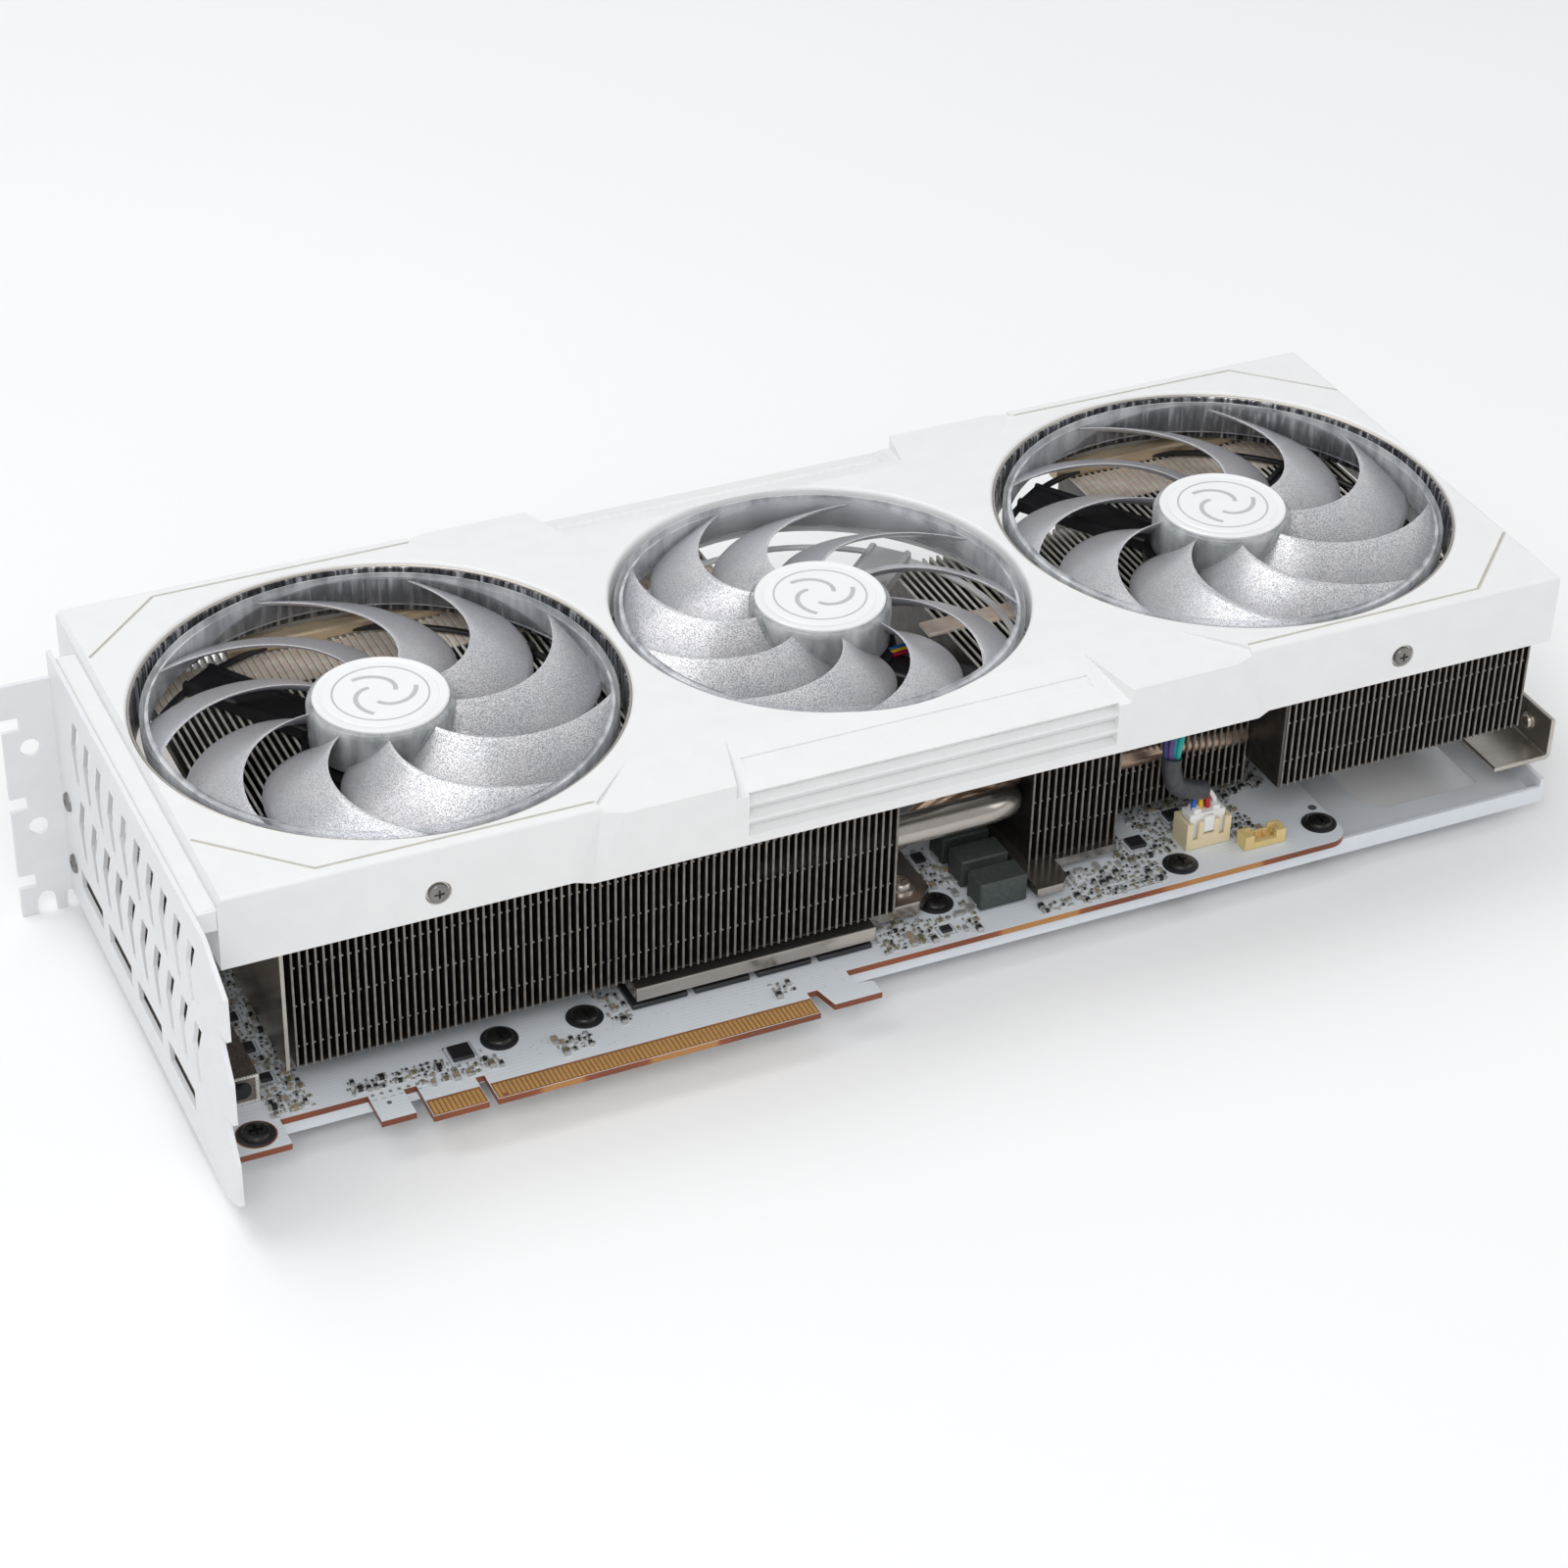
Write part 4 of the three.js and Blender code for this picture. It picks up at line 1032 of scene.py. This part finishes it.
# length, width and height of the small parts
PART_SIZES = [(1.0, 0.5, 0.4), (1.0, 0.5, 0.5), (1.6, 0.8, 0.7), (2.0, 1.2, 0.9), (0.6, 0.3, 0.3)]


def make_small_parts():
    rng = random.Random(5)
    parts, ink, pads, holes = (Shape() for _ in range(4))
    taken = blocked_areas()
    for chip in CHIPS:
        chip_part(parts, ink, *chip)
    for (x0, x1), (y0, y1), count, share in FIELDS:
        for _ in range(count * TRIES):
            along = rng.random() < 0.5
            length, width, height = rng.choice(PART_SIZES)
            x, y = rng.uniform(x0, x1), rng.uniform(y0, y1)
            draw = rng.random()
            kind = 1 if draw < share * 0.35 else 3 if draw < share * 0.8 else 2 if draw < share + 0.1 else 0
            sx, sy = (length / 2 + 0.2, width / 2 + 0.1) if along else (width / 2 + 0.1, length / 2 + 0.2)
            if any(x + sx > a and x - sx < b and y + sy > c and y - sy < d for a, b, c, d in taken):
                continue
            taken.append((x - sx, x + sx, y - sy, y + sy))
            small_part(parts, x, y, along, length, width, height, kind)
            if rng.random() < 0.45:
                frame_line(ink, x - sx + 0.1, x + sx - 0.1, y - sy + 0.1, y + sy - 0.1, 0.09)
    for i in range(6):
        x = 34.2 + i * 1.9
        dot(pads, x, 10.9, 0.42, 0.04, 16)
        ink.block((x - 0.5, x + 0.5), (9.3, 9.42), (0.0, 0.025))
    for i in range(6):
        ink.block((206.5 + i * 1.7, 207.3 + i * 1.7), (14.0, 14.6), (0.0, 0.03))
    frame_line(ink, 205.6, 217.2, 12.6, 15.4)
    for i in range(26):
        x, y = 226.5 + i * 0.78, 37.4 - i * 0.15
        pads.block((x, x + 0.4), (y, y + 0.9), (0.0, 0.2))
    for _ in range(60):
        x, y = rng.uniform(60, 140), rng.uniform(7.5, 14)
        dot(pads, x, y, 0.14, 0.02, 8)
    for x, y, radius in ((262.3, 24.2, 1.0), (247.5, 19.6, 0.6), (36.6, 7.6, 0.5)):
        dot(holes, x, y, radius, 0.03, 28)
    piece("board_small_parts", parts, [BLACK, CERAMIC, TIN, OLIVE], "black_plastic")
    piece("board_print", ink, INK, "white_board")
    piece("board_pads", pads, TIN, "steel")
    piece("board_holes", holes, INK, "white_board")


def make_chokes():
    for i in range(1, 4):
        (x0, x1), (y0, y1), (_, top) = spans(f"choke_{i}")
        shape = Shape().block((x0, x1), (y0, y1), (0.6, top), 0, 0.35)
        middle = (y0 + y1) / 2
        for ends in ((x0 - 0.35, x0 + 0.6), (x1 - 0.6, x1 + 0.35)):
            shape.block(ends, (middle - 1.7, middle + 1.7), (0.02, 1.2), 1, 0.1)
        piece(f"board_choke_{i}", shape, [FERRITE, TIN], "ferrite", replaces=f"choke_{i}")


def make_memory():
    ball = [(0, 0.02), (0.24, 0.02), (0.3, 0.2), (0.2, 0.36), (0, 0.36)]
    for i in range(1, 9):
        x, y, (_, top) = spans(f"memory_{i}")
        shape = Shape().block(x, y, (0.35, top), 0, 0.12)
        for k in range(13):
            shape.turned(ball, x[0] + 0.9 + k * 0.88, y[0] + 0.7, 8, 1)
        piece(f"board_memory_{i}", shape, [BLACK, TIN], "black_plastic", replaces=f"memory_{i}")
    x, y, (_, top) = spans("gpu_package")
    chip = Shape().block(x, y, (0.3, 1.4), 0, 0.2)
    middle_x, middle_y = sum(x) / 2, sum(y) / 2
    chip.block((middle_x - 12, middle_x + 12), (middle_y - 10, middle_y + 10), (1.4, top), 1, 0.1)
    piece("board_processor", chip, [GREEN, NICKEL], "silicon", replaces="gpu_package")


def make_power_connectors():
    first, pitch, half = 1.4, 4.2, 0.55
    for i in range(1, 3):
        node = f"power_connector_{i}"
        node_piece(f"board_power_{i}", node, BLACK, "black_plastic", 0.18)
        (left, _), (_, end), _ = spans(node)
        pins = Shape()
        for column in range(4):
            for row in range(2):
                x, z = left + 1.5 + column * pitch + first, 1.6 + row * pitch + first
                pins.block((x - half, x + half), (110.2, end - 3), (z - half, z + half))
        piece(f"board_power_pins_{i}", pins, GOLD, "gold")


def make_switch():
    node_piece("board_switch", "bios_switch_body", BLACK, "black_plastic", 0.12)
    (x0, x1), (y0, y1), (z0, z1) = spans("bios_switch_slider")
    slider = Shape().block((x0, x1), (y0, y1), (z0, z1), 0, 0.12)
    for i in range(3):
        y = y1 - 0.55 - i * 0.55
        slider.block((x0 + 0.2, x1 - 0.2), (y, y + 0.22), (z1 - 0.1, z1 + 0.12))
    piece("board_switch_slider", slider, NYLON, "white_plastic", body="switch_slider",
          replaces="bios_switch_slider")


# ---- headers and the fan lead ----
def make_fan_header():
    (x0, x1), (y0, y1), (_, top) = spans("fan_header")
    wall = 0.8
    header = raw_object("board_fan_header", Shape().block((x0, x1), (y0, y1), (0.1, top)))
    inside = Shape().block((x0 + wall, x1 - wall), (y0 + wall, y1 - wall), (1.6, top + 1))
    front = (y0 - 1, y0 + wall + 0.2)
    slots = Shape()
    for xs in ((x0 + 1.6, x0 + 2.9), (x1 - 2.9, x1 - 1.6)):
        slots.block(xs, front, (2.4, top + 1))
    middle = Shape().block((x0 + 4.3, x1 - 4.3), front, (3.4, top + 1))
    carve(header, inside, slots, middle)
    dress(header, CREAM, "cream_plastic", replaces="fan_header", bevel=0.12)
    (x0, x1), (y0, y1), (low, top) = spans("fan_plug")
    plug = Shape().block((x0, x1), (y0, y1), (low, top - 1.0), 0, 0.18)
    plug.block((x0 + 3.2, x1 - 3.2), (y0 - 1.0, y0 + 0.3), (4.2, top - 1.4), 0, 0.15)
    for xs in ((x0 + 1.2, x0 + 3.0), (x1 - 3.0, x1 - 1.2)):
        plug.block(xs, (y0 + 0.4, y1 - 0.5), (top - 1.4, top), 0, 0.15)
    piece("lead_plug", plug, NYLON, "white_plastic", replaces="fan_plug")


def make_led_header():
    (x0, x1), (y0, y1), (_, high) = spans("led_header")
    top = high - 1.1
    socket = raw_object("board_led_header", Shape().block((x0, x1), (y0, y1), (0.1, top)))
    mouth = Shape().block((x0 + 1.3, x1 - 1.3), (y0 + 1.2, y1 - 0.8), (1.2, high + 1))
    gap = Shape().block((x0 + 2.4, x1 - 2.4), (y0 - 1, y0 + 1.3), (1.7, high + 1))
    dip = Shape().block((x0 + 3.1, x1 - 3.1), (y1 - 0.9, y1 + 1), (top - 1.2, top + 1))
    carve(socket, mouth, gap, dip)
    dress(socket, YELLOW_CREAM, "cream_plastic", replaces="led_header", bevel=0.15)
    pins = Shape()
    for x in (x0 + 1.7 + i * 2.0 for i in range(4)):
        pins.block((x - 0.25, x + 0.25), (y0 + 1.8, y0 + 2.3), (1.1, top - 0.7), 0, 0.08)
    piece("board_led_pins", pins, GOLD, "gold")


LEAD_PLACES = [(233, 23.4, 10.3), (232.2, 23.3, 13.6), (228, 22.6, 15.4), (224.4, 22.6, 17.6),
               (223.4, 23.2, 22), (224, 24.4, 28), (226, 26.4, 34), (227.4, 28.2, 39.1)]
LEAD_ROUTE = [Vector(place) for place in LEAD_PLACES]
WIRES = {"blue": (0.02, 0.10, 0.50), "yellow": (0.75, 0.42, 0.02), "red": (0.45, 0.01, 0.01),
         "white": (0.7, 0.7, 0.68)}
UPPER_WIRES = {"navy": (0.02, 0.025, 0.14), "purple": (0.10, 0.05, 0.22), "teal": (0.0, 0.30, 0.30),
               "cyan": (0.01, 0.38, 0.34)}
FAN_WIRES = {"red": (0.40, 0.01, 0.06), "yellow": (0.80, 0.50, 0.02), "blue": (0.02, 0.14, 0.45)}
WIRE_RADIUS, UPPER_WIRE_RADIUS, FAN_WIRE_RADIUS = 0.62, 0.74, 0.52
UPPER_SPREAD = (0.3, 0.5, 0.9, 1.2, 1.4)  # how far apart the upper wires are along their way


def make_lead():
    sleeve = Shape().tube(LEAD_ROUTE[1:5] + [(223.6, 23.5, 24.2)], 2.2, 20)
    piece("lead_sleeve", sleeve, SLEEVE, "lead_sleeve", replaces="fan_lead")
    for i, (name, colour) in enumerate(WIRES.items()):
        x = 230.2 + i * 1.75
        end = LEAD_ROUTE[1] + Vector((0.3, (i - 1.5) * 0.5, 0.3))
        route = [(x, 23.4, 8.2), (x, 23.5, 10.2), (x * 0.7 + end.x * 0.3, 23.8, 11.9), end]
        wire = Shape().tube(route, WIRE_RADIUS, 12)
        piece(f"lead_wire_{name}", wire, wire_material(name, colour), "lead_sleeve")
    for i, (name, colour) in enumerate(UPPER_WIRES.items()):
        offset = Vector(((i - 1.5) * 1.3, 0.35 * (-1) ** i, 0))
        route = [p + offset * share for p, share in zip(LEAD_ROUTE[3:], UPPER_SPREAD)]
        wire = Shape().tube(route, UPPER_WIRE_RADIUS, 12)
        piece(f"lead_upper_{name}", wire, wire_material(name, colour), "lead_sleeve")
    for i, (name, colour) in enumerate(FAN_WIRES.items()):
        x, y = FANS[1]["x"] + 12.6, FANS[1]["y"] - 11.3 + i * 1.15
        route = [(x, y, 42.7), (x + 4, y, 42.9), (x + 8, y - 0.4, 42.6), (x + 12, y - 1.4, 41.4)]
        wire = Shape().tube(route, FAN_WIRE_RADIUS, 10)
        piece(f"fan_wire_{name}", wire, wire_material(f"fan_{name}", colour), "lead_sleeve")


# ---- bracket and backplate ----
def make_bracket():
    node_piece("slot_bracket", "io_bracket", WHITE_METAL, "white_metal", 0.16)
    screws = ["bracket_screw_1", "bracket_screw_2"]
    places = [(0.0, sum(y) / 2, sum(z) / 2) for _, y, z in map(spans, screws)]
    heads = placed(screw_shape(2.2, 0.8), places, FACE_LEFT)
    piece("bracket_screws", heads, SCREW_GREY, "steel", replaces=screws)
    for node in ("dp_port_1", "dp_port_2", "dp_port_3", "hdmi_port"):
        make_socket(node)


def make_socket(node):
    """A video socket: its shell, the face towards the slot connector, and the tongue inside."""
    node_piece(f"socket_{node}", node, SOCKET_STEEL, "steel", 0.12)
    low, high = spans(node)[1]
    side = Shape()
    for xs, zs in (((1.4, 13.05), (6.5, 7.05)), ((1.4, 13.05), (0.2, 0.8)), ((12.3, 13.05), (0.8, 6.5)),
                   ((1.4, 2.0), (0.8, 6.5))):
        side.block(xs, (low - 0.12, low + 0.2), zs)
    side.along_y(rounded(2.6, 11.4, 1.5, 5.8, 1.9), low - 0.07, low + 0.1, 1)
    piece(f"socket_side_{node}", side, [BRIGHT, BLACK_GLOSS], "steel")
    tongue = Shape().block((4.0, 12.2), (low + 2.6, high - 2.6), (3.1, 4.3), 0, 0.1)
    tongue.block((11.0, 12.2), (low + 1.0, high - 1.0), (1.4, 5.9))
    for k in range(10):
        y = low + 3.2 + k * (high - low - 6.8) / 9
        for z in ((3.02, 3.1), (4.3, 4.38)):
            tongue.block((4.3, 10.8), (y, y + 0.45), z, 1)
    piece(f"socket_tongue_{node}", tongue, [BLACK, GOLD], "black_plastic")


def make_backplate():
    node_piece("card_backplate", "backplate", PALE_METAL, "white_metal", 0.3)
    low = card_box("backplate")[0].z
    places = SCREW_PLACES[1:] + [(x, y) for x in (93, 149) for y in (34, 90)]
    places += [(x, 112) for x in (20, 120, 200, 258)]
    screws = placed(screw_shape(2.4, 1.1, 3.0), [(x, y, low - 0.02) for x, y in places], FACE_DOWN)
    piece("backplate_screws", screws, [BLACK_STEEL, BLACK], "steel")
    lines = Shape()
    for path in (TOP_LINE, mirrored_y(TOP_LINE)):
        lines.prism(strip(path, 0.8), low - 0.12, low + 0.1)
    for x in (180 + i * 6.5 for i in range(9)):
        lines.prism(strip([(x, 48), (x + 12, 84)], 1.6), low - 0.1, low + 0.1)
    piece("backplate_lines", lines, GROOVE, "white_metal")


# ---- stage ----
def area_light(name, place, aim, size, power):
    data = bpy.data.lights.new(name, "AREA")
    data.shape = "RECTANGLE"
    data.size, data.size_y = size
    data.energy = power
    light = linked(bpy.data.objects.new(name, data))
    light.location = place
    light.rotation_euler = (Vector(place) - Vector(aim)).to_track_quat("Z", "Y").to_euler()


def make_stage():
    floor = bpy.data.meshes.new("floor")
    half, low = 6.0, -0.1 * MM
    corners = [(-half, -half, low), (half, -half, low), (half, half, low), (-half, half, low)]
    floor.from_pydata(corners, [], [(0, 1, 2, 3)])
    floor.materials.append(surface("floor", (0.90, 0.90, 0.90), 0.9, mottle=0.004, mottle_size=200, bump=0.0))
    linked(bpy.data.objects.new("floor", floor))
    world = bpy.data.worlds.new("studio")
    bpy.context.scene.world = world
    world.use_nodes = True
    tree = world.node_tree
    fill(tree, tree.nodes["Background"], Color=(0.97, 0.985, 1.0, 1), Strength=0.58)
    area_light("key", (-0.5, 0.4, 1.4), (0, 0, 0), (1.2, 0.9), 9)
    area_light("fill", (-0.6, -1.1, 1.2), (0, 0, 0.03), (0.9, 0.7), 8.5)
    area_light("side", (1.3, -0.7, 0.8), (0, 0, 0.03), (0.8, 0.8), 2.5)
    bpy.context.scene.view_settings.view_transform = "Standard"


CAMERA_AZIMUTH, CAMERA_ELEVATION, CAMERA_ROLL = -25.42, 34.66, 1.45
CAMERA_DISTANCE, CAMERA_LENS = 0.8213, 85.7
CAMERA_AIM = (-0.0059, 0.0016, -0.0088)   # from the middle of the card


def make_camera():
    azimuth, elevation, roll = map(math.radians, (CAMERA_AZIMUTH, CAMERA_ELEVATION, CAMERA_ROLL))
    flat = math.cos(elevation)
    back = Vector((math.sin(azimuth) * flat, -math.cos(azimuth) * flat, math.sin(elevation)))
    level = Vector((math.cos(azimuth), math.sin(azimuth), 0))
    right = level * math.cos(roll) + back.cross(level) * math.sin(roll)
    up = back.cross(right)
    middle = (Vector(cad_bounds[0]) + Vector(cad_bounds[1])) / 2
    data = bpy.data.cameras.new("camera")
    data.lens = CAMERA_LENS
    data.sensor_width = 36
    camera = linked(bpy.data.objects.new("camera", data))
    rotation = Matrix((right, up, back)).transposed().to_4x4()
    camera.matrix_world = Matrix.Translation(middle + Vector(CAMERA_AIM) + back * CAMERA_DISTANCE) @ rotation
    bpy.context.scene.camera = camera


make_camera()
make_stage()
make_shroud()
for fan in FANS:
    make_fan_wall(fan)
    make_fan_frame(fan)
    make_impeller(fan)
make_fins()
make_pipes()
make_cold_plate()
make_end_bracket()
make_board()
make_small_parts()
make_chokes()
make_memory()
make_power_connectors()
make_switch()
make_fan_header()
make_led_header()
make_lead()
make_bracket()
make_backplate()
